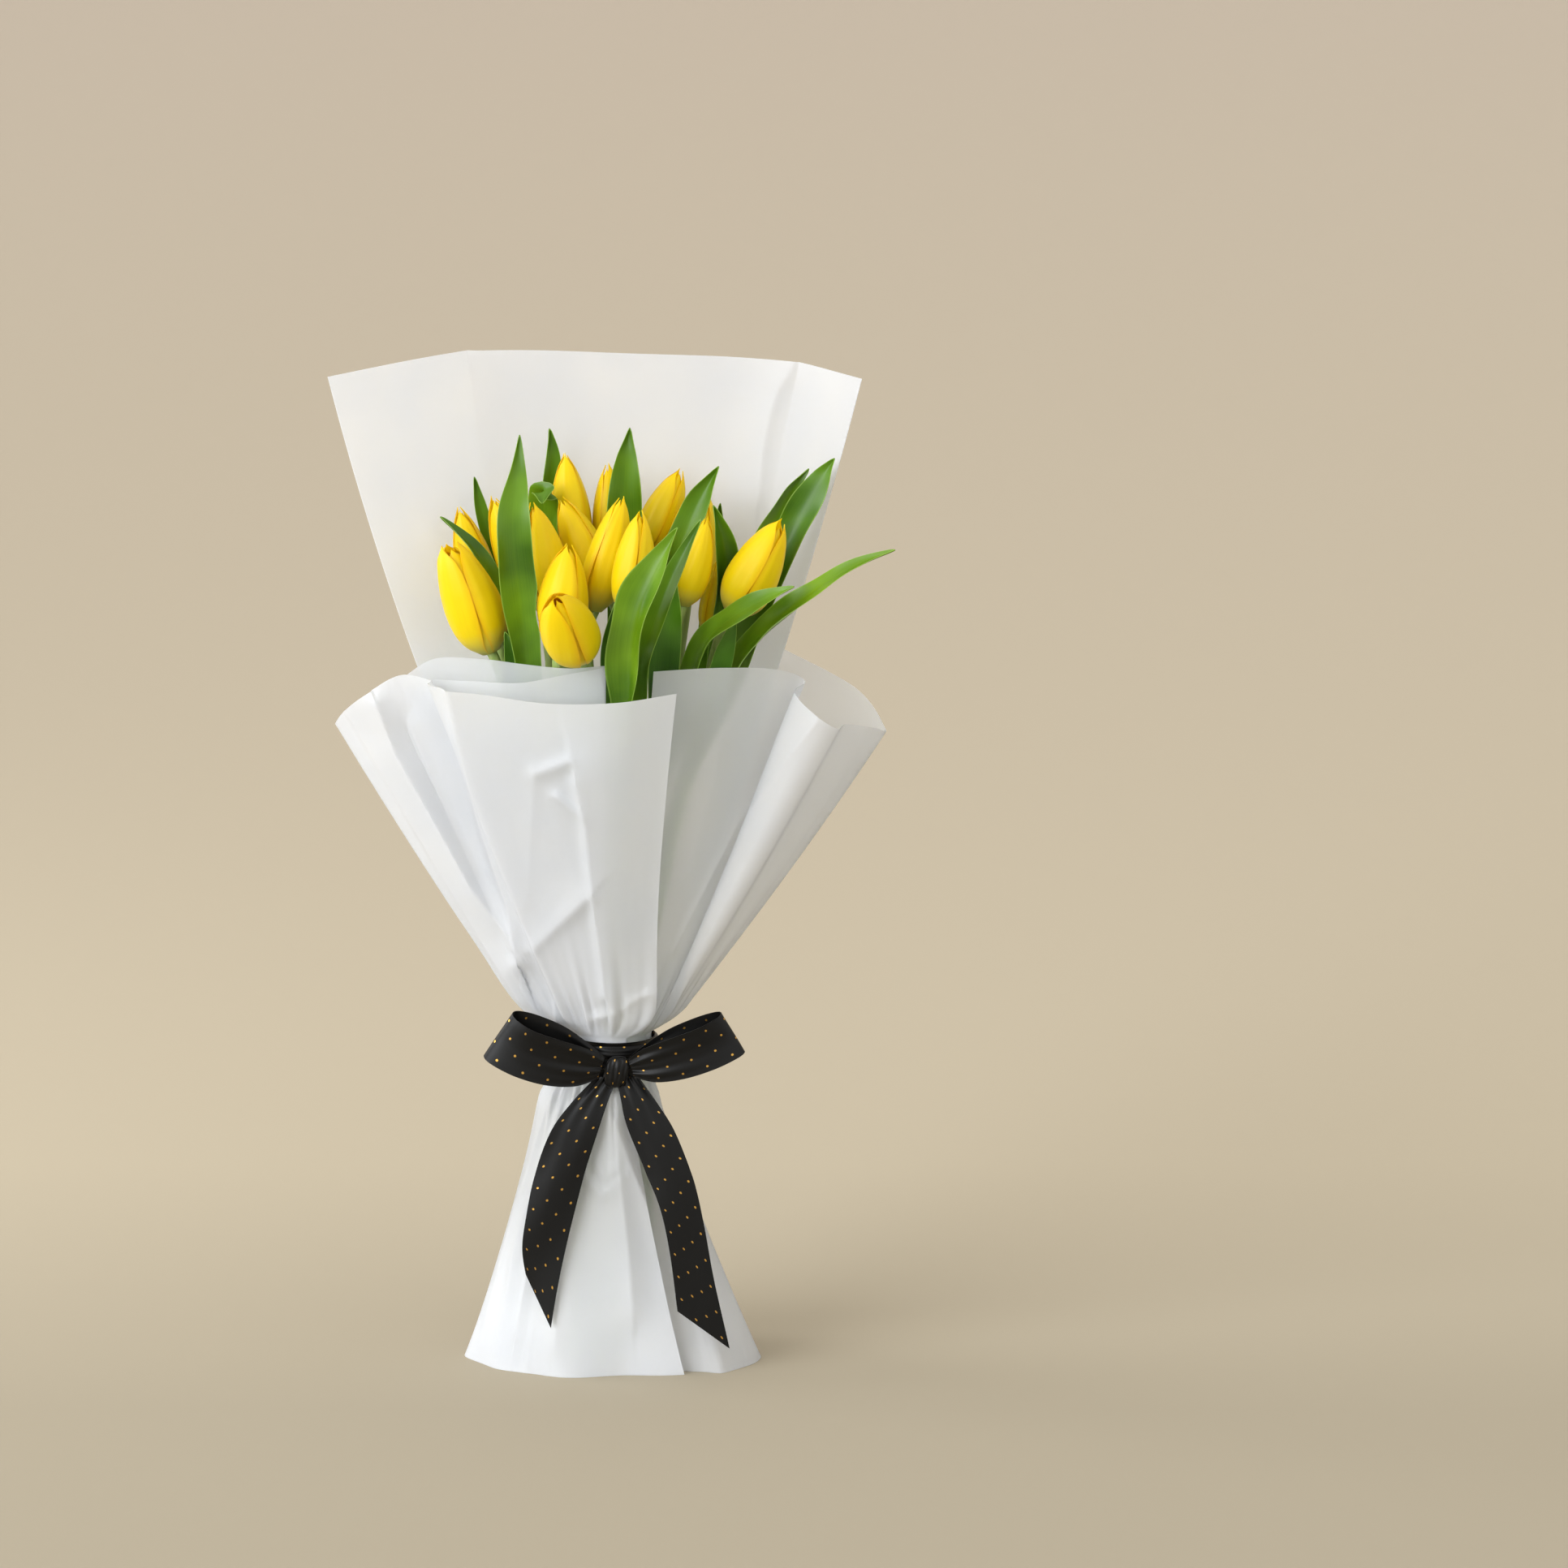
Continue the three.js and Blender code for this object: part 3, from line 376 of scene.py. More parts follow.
def meshFrom(name, points, faces, uv):
    # points in millimetres; uv is one pair for each point
    mesh = bpy.data.meshes.new(name)
    mesh.from_pydata((np.asarray(points) * mm).tolist(), [], faces)
    layer = mesh.uv_layers.new(name="UVMap")
    layer.data.foreach_set("uv", np.asarray(uv, float)[cornerVertices(mesh)].ravel())
    bm = bmesh.new()
    bm.from_mesh(mesh)
    bmesh.ops.recalc_face_normals(bm, faces=bm.faces)
    bm.to_mesh(mesh)
    bm.free()
    return mesh


def bladeMesh(name, front, back, uv):
    # a closed blade between two grids of points
    rows, columns = front.shape[:2]
    under = rows * columns
    at = np.arange(under).reshape(rows, columns)
    a, b, c, d = at[:-1, :-1], at[:-1, 1:], at[1:, 1:], at[1:, :-1]
    top = np.stack([a, b, c, d], -1).reshape(-1, 4)
    bottom = np.stack([a, d, c, b], -1).reshape(-1, 4) + under
    rim = np.concatenate([at[0, :], at[1:, -1], at[-1, -2::-1], at[-2:0:-1, 0]])
    follow = np.roll(rim, -1)
    side = np.stack([rim, rim + under, follow + under, follow], -1)
    faces = np.concatenate([top, bottom, side]).tolist()
    points = np.concatenate([front.reshape(-1, 3), back.reshape(-1, 3)])
    pairs = np.concatenate([uv.reshape(-1, 2)] * 2)
    return meshFrom(name, points, faces, pairs)


def thickBlade(name, grid, thickness, uv, level=False):
    # a closed blade round a grid of points, thickened level where it stands on its edge
    normals = unit(np.cross(np.gradient(grid, axis=0), np.gradient(grid, axis=1)))
    if level:
        normals[..., 2] = 0
        normals = unit(normals)
    half = normals * (np.broadcast_to(thickness, grid.shape[:2])[..., None] / 2)
    return bladeMesh(name, grid + half, grid - half, uv)


def joinMeshes(name, meshes):
    bm = bmesh.new()
    for mesh in meshes:
        bm.from_mesh(mesh)
    joined = bpy.data.meshes.new(name)
    bm.to_mesh(joined)
    bm.free()
    for mesh in meshes:
        bpy.data.meshes.remove(mesh)
    return joined


# geometry nodes

def startTree(name, inputs):
    # a tree that takes a shape, a material and these inputs, and gives a shape
    tree = bpy.data.node_groups.new(name, "GeometryNodeTree")
    for label, kind in {"Geometry": "Geometry", **inputs, "Material": "Material"}.items():
        tree.interface.new_socket(label, in_out="INPUT", socket_type="NodeSocket" + kind)
    tree.interface.new_socket("Geometry", in_out="OUTPUT", socket_type="NodeSocketGeometry")
    return tree, tree.nodes.new("NodeGroupInput").outputs


def endTree(tree, shape, material):
    # plain geometry with its material
    real = addNode(tree, "GeometryNodeRealizeInstances", {"Geometry": shape})
    coloured = addNode(tree, "GeometryNodeSetMaterial", {"Geometry": real, "Material": material})
    addNode(tree, "NodeGroupOutput", {"Geometry": coloured})


def runTree(obj, tree, values):
    # sets each input by its identifier, then returns the result as a plain mesh
    modifier = obj.modifiers.new("shape", "NODES")
    modifier.node_group = tree
    for item in tree.interface.items_tree:
        if item.item_type == "SOCKET" and item.in_out == "INPUT" and item.name in values:
            modifier[item.identifier] = values[item.name]
    graph = bpy.context.evaluated_depsgraph_get()
    mesh = bpy.data.meshes.new_from_object(obj.evaluated_get(graph))
    obj.modifiers.remove(modifier)
    bpy.data.objects.remove(obj)
    return mesh


def makeWhorlTree():
    # equal petals set round the bud, each turned and sized a little by chance
    tree, given = startTree("petalWhorl", {
        "Petals": "Int", "Turn Chance": "Float", "Size Chance": "Float", "Seed": "Int"})
    line = addNode(tree, "GeometryNodeMeshLine", {"Count": given["Petals"], "Offset": (0, 0, 0)})
    index = addNode(tree, "GeometryNodeInputIndex")
    step = addNode(tree, "ShaderNodeMath", {0: 2 * math.pi, 1: given["Petals"]}, operation="DIVIDE")
    turn = addNode(tree, "ShaderNodeMath", {0: index, 1: step}, operation="MULTIPLY")
    turnChance = addNode(tree, "FunctionNodeRandomValue", {2: -1.0, 3: 1.0, "Seed": given["Seed"]},
                         data_type="FLOAT")
    swing = addNode(tree, "ShaderNodeMath", {0: turnChance.outputs[1], 1: given["Turn Chance"]},
                    operation="MULTIPLY")
    angle = addNode(tree, "ShaderNodeMath", {0: turn, 1: swing}, operation="ADD")
    rotation = addNode(tree, "ShaderNodeCombineXYZ", {"Z": angle})
    otherSeed = addNode(tree, "ShaderNodeMath", {0: given["Seed"], 1: 7.0}, operation="ADD")
    sizeChance = addNode(tree, "FunctionNodeRandomValue", {2: -1.0, 3: 0.0, "Seed": otherSeed},
                         data_type="FLOAT")
    size = addNode(tree, "ShaderNodeMath",
                   {0: sizeChance.outputs[1], 1: given["Size Chance"], 2: 1.0}, operation="MULTIPLY_ADD")
    scale = addNode(tree, "ShaderNodeCombineXYZ", {"X": 1.0, "Y": 1.0, "Z": size})
    placed = addNode(tree, "GeometryNodeInstanceOnPoints", {
        "Points": line, "Instance": given["Geometry"], "Rotation": rotation, "Scale": scale})
    endTree(tree, placed, given["Material"])
    return tree


def makeStemTree():
    # a round stem along its path, thinner towards the flower
    tree, given = startTree("stemSweep", {"Foot Radius": "Float", "Top Radius": "Float", "Sides": "Int"})
    along = addNode(tree, "GeometryNodeSplineParameter")
    radius = addNode(tree, "ShaderNodeMix", {
        "Factor": along.outputs["Factor"], "A": given["Foot Radius"], "B": given["Top Radius"]})
    sized = addNode(tree, "GeometryNodeSetCurveRadius", {"Curve": given["Geometry"], "Radius": radius})
    ring = addNode(tree, "GeometryNodeCurvePrimitiveCircle", {"Resolution": given["Sides"], "Radius": 1.0})
    reach = addNode(tree, "GeometryNodeInputRadius")
    swept = addNode(tree, "GeometryNodeCurveToMesh", {
        "Curve": sized, "Profile Curve": ring, "Scale": reach, "Fill Caps": True})
    endTree(tree, swept, given["Material"])
    return tree


# flowers: foot and tip of the bud, radius, how far open, turn of the petals,
# and the stem's place in the bundle, in stem spacings

flowers = {
    "a": {"foot": (-58.5, -30, 367.5), "tip": (-79.5, -36, 423.5), "radius": 14.3, "open": 1, "turn": 208,
          "slot": (-1.5, -1)},
    "b": {"foot": (-61.5, 7, 382), "tip": (-75.5, 6, 434), "radius": 9.7, "open": 0, "turn": 250,
          "slot": (-1.5, 1)},
    "c": {"foot": (-38.5, 1, 390), "tip": (-58.5, 1, 440), "radius": 10.6, "open": 0.1, "turn": 240,
          "slot": (-2, 0)},
    "d": {"foot": (-27, -19, 386), "tip": (-38, -21, 440.5), "radius": 10.9, "open": 0.1, "turn": 290,
          "slot": (-1, 0)},
    "e": {"foot": (-18, 16, 406), "tip": (-22.8, 18, 459), "radius": 10, "open": 0, "turn": 248,
          "slot": (-1, 2)},
    "f": {"foot": (-3, -4, 392), "tip": (-25, -4, 440), "radius": 10.4, "open": 0.3, "turn": 245,
          "slot": (-0.5, 1)},
    "g": {"foot": (1, 20, 401), "tip": (-2, 22, 453), "radius": 9.5, "open": 0.1, "turn": 290,
          "slot": (0, 2)},
    "h": {"foot": (-7.5, -25, 387), "tip": (6.5, -26, 445), "radius": 10.4, "open": 0.2, "turn": 292,
          "slot": (0, 0)},
    "i": {"foot": (-24, -43, 374), "tip": (-19.5, -45, 424.5), "radius": 12.3, "open": 0.2, "turn": 236,
          "slot": (-0.5, -1)},
    "j": {"foot": (-14, -60, 370.5), "tip": (-25.5, -98, 407.5), "radius": 14.2, "open": 0, "turn": 214,
          "slot": (0.5, -1)},
    "k": {"foot": (10, -43, 388), "tip": (15.5, -44, 440.5), "radius": 10.8, "open": 0, "turn": 206,
          "slot": (0.5, 1)},
    "l": {"foot": (15.5, 30, 400), "tip": (34.4, 30.5, 448.5), "radius": 11, "open": 0.2, "turn": 212,
          "slot": (1, 2)},
    "m": {"foot": (38, 10, 391), "tip": (44.5, 11, 445), "radius": 13, "open": 0.2, "turn": 235,
          "slot": (1.5, 1)},
    "n": {"foot": (36, -24, 389.5), "tip": (48, -27, 434.5), "radius": 9.3, "open": 0, "turn": 270,
          "slot": (1.5, -1)},
    "o": {"foot": (51, -5, 368), "tip": (54, -4, 411), "radius": 8.5, "open": 0, "turn": 290,
          "slot": (1, 0)},
    "p": {"foot": (60.5, -25, 385), "tip": (85, -30, 433), "radius": 13, "open": 0.3, "turn": 206,
          "slot": (2, 0)},
}

# a bud's radius and its petals' half widths in degrees, by the height along it
budShape = {
    "profile": [(0, 0.3), (0.05, 0.58), (0.12, 0.8), (0.22, 0.95), (0.33, 1), (0.45, 0.97),
                (0.6, 0.86), (0.72, 0.71), (0.83, 0.53), (0.92, 0.32), (1, 0.07)],
    "outerSpan": [(0, 48), (0.2, 56), (0.4, 59), (0.65, 60), (0.8, 57), (0.9, 50), (0.96, 36), (1, 8)],
    "innerSpan": [(0, 46), (0.3, 58), (0.6, 62), (0.85, 64), (0.94, 62), (0.98, 50), (1, 20)],
    "outerReach": 1.0, "innerReach": 0.955, "edgeStand": 0.04, "innerDrop": 0.09, "seamLean": 16,
    "openSpread": 0.22, "edgeShort": 0.05, "lap": 0.018, "innerCloses": 0.5, "closesFrom": 0.75,
    "rib": 0.14, "ribWidth": 0.16, "leastRadius": 0.9, "leastInside": 0.35,
    "rows": 34, "columns": 21, "thickness": 0.9, "edgeThickness": 0.15,
    "petals": 3, "turnChance": 0.06, "sizeChance": 0.04, "seedStep": 10,
}


def budRadius(flower, t):
    t = np.clip(t, 0, 1)
    profile = np.array(budShape["profile"])
    fine = sum(np.interp(t + step, profile[:, 0], profile[:, 1]) for step in (-0.03, 0, 0.03)) / 3
    spread = flower["open"] * budShape["openSpread"] * t ** 3
    return flower["radius"] * (fine + spread)


def budFrame(flower):
    foot = np.array(flower["foot"], float)
    up = np.array(flower["tip"], float) - foot
    length = np.linalg.norm(up)
    up = up / length
    side = unit(np.cross((0, 1, 0), up))
    return foot, up, length, side, np.cross(up, side)


def petalMesh(flower, length, inner):
    # one petal on a bud that stands upright at the origin: s along it, c across it
    shape = budShape
    s, c = np.meshgrid(np.linspace(0, 1, shape["rows"]) ** 0.9,
                       np.linspace(-1, 1, shape["columns"]), indexing="ij")
    t = s * (shape["innerReach" if inner else "outerReach"] - shape["edgeShort"] * c ** 2 * s)
    span = np.radians(lineValue(shape["innerSpan" if inner else "outerSpan"], s))
    angle = c * span + np.radians(shape["seamLean"]) * s
    swell = np.sin(np.pi * s)
    radius = budRadius(flower, t)
    if inner:
        closing = np.clip((s - shape["closesFrom"]) / (1 - shape["closesFrom"]), 0, 1) ** 1.5
        radius = radius * (1 - shape["innerDrop"] * np.sin(np.pi * np.minimum(s + 0.1, 1)))
        radius = radius * (1 - shape["innerCloses"] * closing)
    else:
        radius = radius * (1 + shape["edgeStand"] * c ** 2 * swell + shape["lap"] * c * swell)
    rib = shape["rib"] * np.exp(-(c / shape["ribWidth"]) ** 2) * np.sin(np.pi * s ** 0.8)
    waves = 0.12 * np.sin(7 * c + 3 * s) * swell + 0.1 * np.sin(13 * c - 4 * s) * swell
    outer = np.maximum(radius + rib + waves, shape["leastRadius"])
    thickness = shape["thickness"] * (1 - 0.7 * c ** 6) * (1 - 0.6 * s ** 6) + shape["edgeThickness"]
    inward = np.maximum(outer - thickness, shape["leastInside"])

    def grid(r):
        return np.stack([r * np.cos(angle), r * np.sin(angle), t * length], -1)

    return bladeMesh("petal", grid(outer), grid(inward), np.stack([(c + 1) / 2, s], -1))


whorlTree = makeWhorlTree()


def makeBud(name, flower, seed):
    foot, up, length, side, forth = budFrame(flower)
    base = Matrix((
        (side[0], forth[0], up[0], foot[0] * mm),
        (side[1], forth[1], up[1], foot[1] * mm),
        (side[2], forth[2], up[2], foot[2] * mm),
        (0, 0, 0, 1)))
    whorls = []
    for inner in (False, True):
        petal = finishMesh("petal", petalMesh(flower, length, inner), petalMaterial)
        mesh = runTree(petal, whorlTree, {
            "Petals": budShape["petals"], "Turn Chance": budShape["turnChance"],
            "Size Chance": budShape["sizeChance"], "Seed": seed + inner, "Material": petalMaterial})
        # the inner petals stand behind the seams of the outer ones
        turn = math.radians(flower["turn"] + (180 / budShape["petals"] if inner else 0))
        mesh.transform(base @ Matrix.Rotation(turn, 4, "Z"))
        whorls.append(mesh)
    bud = finishMesh("bloom_" + name + "_petals", joinMeshes("bloom_" + name, whorls), petalMaterial)
    return dress(bud, "bloom_" + name)


for number, (name, flower) in enumerate(flowers.items()):
    makeBud(name, flower, budShape["seedStep"] * number)
print("buds made")


# stems: straight and close in the tie from bottom to top, turned and splayed below it, and
# bent out to the flowers above it

bundle = {
    "radius": 3.2, "topRadius": 2.6, "sides": 16, "spacing": 6.8, "splay": 1.7, "turn": 40,
    "bottom": 135, "top": 180, "neck": 16, "sunk": 0.5, "footTone": 0.4,
}


def stemLine(flower):
    # in the tie the stems lie packed in rows, each row half a stem along from the next
    slot = np.array(flower["slot"]) * (bundle["spacing"], bundle["spacing"] * math.sin(math.radians(60)))
    points = []
    for f in (0, 0.33, 0.67, 1):
        low = (1 - f) ** 1.2
        turn = math.radians(bundle["turn"]) * low
        scale = 1 + (bundle["splay"] - 1) * low
        points.append((scale * (slot[0] * math.cos(turn) - slot[1] * math.sin(turn)),
                       scale * (slot[0] * math.sin(turn) + slot[1] * math.cos(turn)),
                       f * bundle["bottom"]))
    points.append((slot[0], slot[1], bundle["top"]))
    foot, up = budFrame(flower)[:2]
    bend = foot - bundle["neck"] * up
    for f in (0.25, 0.5, 0.75, 1):
        out = f ** 1.12
        points.append((slot[0] + (bend[0] - slot[0]) * out, slot[1] + (bend[1] - slot[1]) * out,
                       bundle["top"] + (bend[2] - bundle["top"]) * f))
    points.append(tuple(foot + bundle["sunk"] * up))
    return np.array(points)


stemTree = makeStemTree()
stemLines = {name: stemLine(flower) for name, flower in flowers.items()}


def makeStem(name):
    path = smoothValue(stemLines[name], np.linspace(0, 1, 60))
    curve = bpy.data.curves.new("path", "CURVE")
    curve.dimensions = "3D"
    spline = curve.splines.new("POLY")
    spline.points.add(len(path) - 1)
    spline.points.foreach_set("co", np.c_[path * mm, np.ones(len(path))].ravel())
    obj = bpy.data.objects.new("path", curve)
    bpy.context.scene.collection.objects.link(obj)
    mesh = runTree(obj, stemTree, {
        "Foot Radius": bundle["radius"] * mm, "Top Radius": bundle["topRadius"] * mm,
        "Sides": bundle["sides"], "Material": stemMaterial})
    points = np.empty(3 * len(mesh.vertices))
    mesh.vertices.foreach_get("co", points)
    points = points.reshape(-1, 3)
    points[:, 2] = np.maximum(points[:, 2], 0)  # the cut end stands flat on the table
    mesh.vertices.foreach_set("co", points.ravel())
    if not mesh.uv_layers:
        mesh.uv_layers.new(name="UVMap")
    height = points[cornerVertices(mesh), 2] / (stemLines[name][-1][2] * mm)
    along = bundle["footTone"] + (1 - bundle["footTone"]) * height
    mesh.uv_layers[0].data.foreach_set("uv", np.c_[np.full(len(along), 0.5), along].ravel())
    return mesh


# leaves: stem, painted light from blue green and darker, in shade, to yellow green and brighter, in the
# light, where the hollow side faces, how far it is cupped at its foot and tip, and the middle line as x,
# y, z, half width

leaves = [
    {"stem": "a", "paintedLight": 5, "face": (0.25, -1, 0.1), "cup": (0.5, 0.25), "line": [
        (-38, -19, 272, 3), (-36.5, -28, 308, 5), (-38.5, -35.5, 345, 5.8), (-41, -41, 371, 7),
        (-43.5, -44.5, 395, 9.2), (-46, -44.5, 418, 9), (-46.8, -43, 438, 7.8), (-44.6, -40, 456, 4.8),
        (-43.5, -36, 476, 0.8)]},
    {"stem": "e", "paintedLight": 5, "face": (0.5, -1, 0), "cup": (0.6, 0.6), "line": [
        (-17, 13, 285, 3), (-24, 20, 345, 5), (-29, 29, 395, 6), (-31, 32, 430, 6.2),
        (-29.5, 33, 452, 4.2), (-31, 34, 468, 0.8)]},
    {"stem": "c", "paintedLight": 6, "face": (-0.2, -1, 0.2), "cup": (0.2, 0.2), "line": [
        (-25, -4, 285, 3), (-27, 1, 340, 5), (-29, 10, 395, 6), (-33, 10, 425, 7.6), (-33, 3, 442, 7.4),
        (-33.5, -6, 437, 1.5)]},
    {"stem": "b", "paintedLight": 4, "face": (0.1, -1, 0), "cup": (0.4, 0.4), "line": [
        (-40, 5, 285, 3), (-48, 12, 345, 4), (-54, 18, 385, 4), (-58.5, 19.5, 407, 3.8),
        (-64.5, 20, 429, 3.2), (-68, 19.5, 446, 0.8)]},
    {"stem": "c", "paintedLight": 5, "face": (0.5, -0.4, 0.7), "cup": (0.3, 0.3), "line": [
        (-27, -5, 295, 3), (-38, -15, 335, 4.5), (-46, -20, 372, 6), (-55, -19, 397, 5.8),
        (-68, -17, 418, 4.8), (-83.5, -15, 432, 0.8)]},
    {"stem": "g", "paintedLight": 5, "face": (0.15, -1, 0), "cup": (0.3, 0.45), "line": [
        (1, 14, 285, 3), (3, 11, 330, 5), (5, 8, 370, 7.2), (6.5, 6, 405, 8.6), (6.5, 5.5, 431, 9),
        (7, 5.5, 446, 7.4), (8, 6, 460, 4.6), (9.5, 8, 472.5, 0.8)]},
    {"stem": "n", "paintedLight": 5, "face": (-0.3, -1, 0.1), "cup": (0.3, 0.5), "line": [
        (25, -16, 288, 3), (24.5, -14, 335, 5), (25.5, -13, 375, 6), (30, -12.5, 405, 6.8),
        (36.5, -12.5, 423, 7.2), (44, -12, 440, 6), (53.5, -12, 456.5, 0.8)]},
    {"stem": "j", "paintedLight": 8, "face": (-0.6, -0.75, 0.2), "cup": (0.95, 0.45), "line": [
        (-5, -38, 272, 3), (4, -43, 305, 4.2), (7, -56, 335, 6.2), (8, -69, 358, 8.6),
        (9.8, -75, 380, 11.2), (15, -76.5, 401, 10.8), (24.5, -76, 420, 6.6), (34, -74, 436.5, 0.8)]},
    {"stem": "k", "paintedLight": 6, "face": (-0.5, -0.9, 0.2), "cup": (0.35, 0.25), "line": [
        (6, -17, 290, 3), (11, -35, 320, 4.5), (14.5, -48, 346, 5.2), (16.5, -57, 369, 5.4),
        (23.5, -60, 391, 5.2), (33, -60, 414, 4.6), (45.5, -58, 438, 0.8)]},
    {"stem": "n", "paintedLight": 2, "face": (0.1, -1, 0), "cup": (0.35, 0.35), "line": [
        (27, -18, 298, 3), (25, -34, 335, 6), (27, -44, 368, 8), (29, -46, 388, 6.5),
        (33, -46, 404, 0.8)]},
    {"stem": "p", "paintedLight": 4, "face": (0.45, -1, 0), "cup": (0.7, 0.7), "line": [
        (41, -16, 295, 3), (48, -14, 335, 5), (53, -14, 365, 6), (57, -15, 394, 6.4),
        (56.5, -17, 418, 5.4), (51, -18, 438, 0.8)]},
    {"stem": "o", "paintedLight": 7, "face": (0.5, -0.9, 0), "cup": (0.35, 0.35), "line": [
        (34, -2, 300, 3), (50, 0, 345, 5), (58, 2, 376, 6), (65, 3, 399, 6.2), (74, 4, 414.5, 6),
        (81.5, 4.5, 428, 5.2), (89.5, 5, 442, 3.6), (98, 5, 452.5, 0.8)]},
    {"stem": "p", "paintedLight": 4, "face": (-0.35, -0.9, 0.25), "cup": (0.3, 0.3), "line": [
        (44, -16, 300, 3), (58, -10, 345, 6), (70, -9, 380, 7.5), (80, -9, 404, 8), (90, -9, 425, 8.4),
        (98.5, -9, 440.5, 7.6), (104.5, -9, 451, 5), (110.5, -9, 460, 0.8)]},
    {"stem": "n", "paintedLight": 6, "face": (-0.5, -0.55, 0.7), "cup": (0.4, 0.25), "line": [
        (28, -19, 305, 3), (34, -32, 338, 6), (40, -38, 360, 7.6), (47.5, -43, 376.5, 8),
        (58, -48, 387, 7.6), (69.5, -52, 394.5, 6.2), (80, -55, 400, 4.2), (90.5, -57, 404.5, 0.8)]},
    {"stem": "p", "paintedLight": 9, "face": (-0.5, -0.5, 0.75), "cup": (0.5, 0.35), "line": [
        (43, -18, 300, 3), (50, -23, 328, 5.5), (61, -29, 360, 7.2), (73, -35, 377, 7.8),
        (85, -40, 388, 7.2), (97.5, -44, 399, 6.2), (111, -46, 408.5, 4.8), (125, -46.5, 415.5, 3.2),
        (140, -47, 421, 0.8)]},
    {"stem": "a", "paintedLight": 2, "face": (0, -1, 0), "cup": (0.2, 0.2), "line": [
        (-45, -24, 300, 3), (-43, -30, 335, 5), (-46, -37, 362, 5.5), (-51, -47, 380, 0.8)]},
    {"stem": "h", "paintedLight": 2, "face": (0, -1, 0), "cup": (0.3, 0.3), "line": [
        (-4, -13, 290, 3), (0, -30, 325, 4.6), (1, -45, 352, 5.2), (1.5, -56, 375, 5),
        (4, -58, 398, 0.8)]},
    {"stem": "p", "paintedLight": 2, "face": (0.2, -1, 0), "cup": (0.25, 0.25), "line": [
        (44, -18, 302, 3), (48, -29, 335, 5.5), (56, -38, 366, 5), (62, -40, 386, 0.8)]},
    {"stem": "m", "paintedLight": 4, "face": (-0.2, -1, 0), "cup": (0.3, 0.3), "line": [
        (31, 12, 295, 3), (44, 24, 345, 5), (52, 27, 400, 5), (54, 24, 432, 0.8)]},
]

leafShape = {
    "rows": 72, "columns": 21, "thickness": 0.7, "budClearance": 1.0, "stemClearance": 1.0,
    "wave": 0.2, "hood": 0.7, "hoodFrom": 0.86, "hoodNarrows": 0.3,
    "leastHalf": 0.45, "pointFrom": 0.985, "pointWidth": 0.2,
    "waveLengths": (9.5, 11), "phaseStep": 1.7,
}


def bentOffBuds(points):
    # moves points out of any bud they would enter
    for flower in flowers.values():
        foot, up, length = budFrame(flower)[:3]
        offset = points - foot
        height = offset @ up
        t = height / length
        offset = offset - height[..., None] * up
        distance = np.maximum(np.linalg.norm(offset, axis=-1), 1e-6)
        clear = budRadius(flower, t) * (1 + budShape["edgeStand"]) + leafShape["budClearance"]
        push = np.where((t > -0.04) & (t < 1.06), np.maximum(clear - distance, 0), 0)
        points = points + offset * (push / distance)[..., None]
    return points


def bentOffStems(points, own):
    # moves points level off any stem but their own
    for name, line in stemLines.items():
        if name == own:
            continue
        x = np.interp(points[..., 2], line[:, 2], line[:, 0])
        y = np.interp(points[..., 2], line[:, 2], line[:, 1])
        away = points[..., :2] - np.stack([x, y], -1)
        distance = np.maximum(np.linalg.norm(away, axis=-1), 1e-6)
        clear = bundle["radius"] + leafShape["stemClearance"]
        push = np.where(points[..., 2] < line[-1][2], np.maximum(clear - distance, 0), 0)
        points[..., :2] += away * (push / distance)[..., None]
    return points


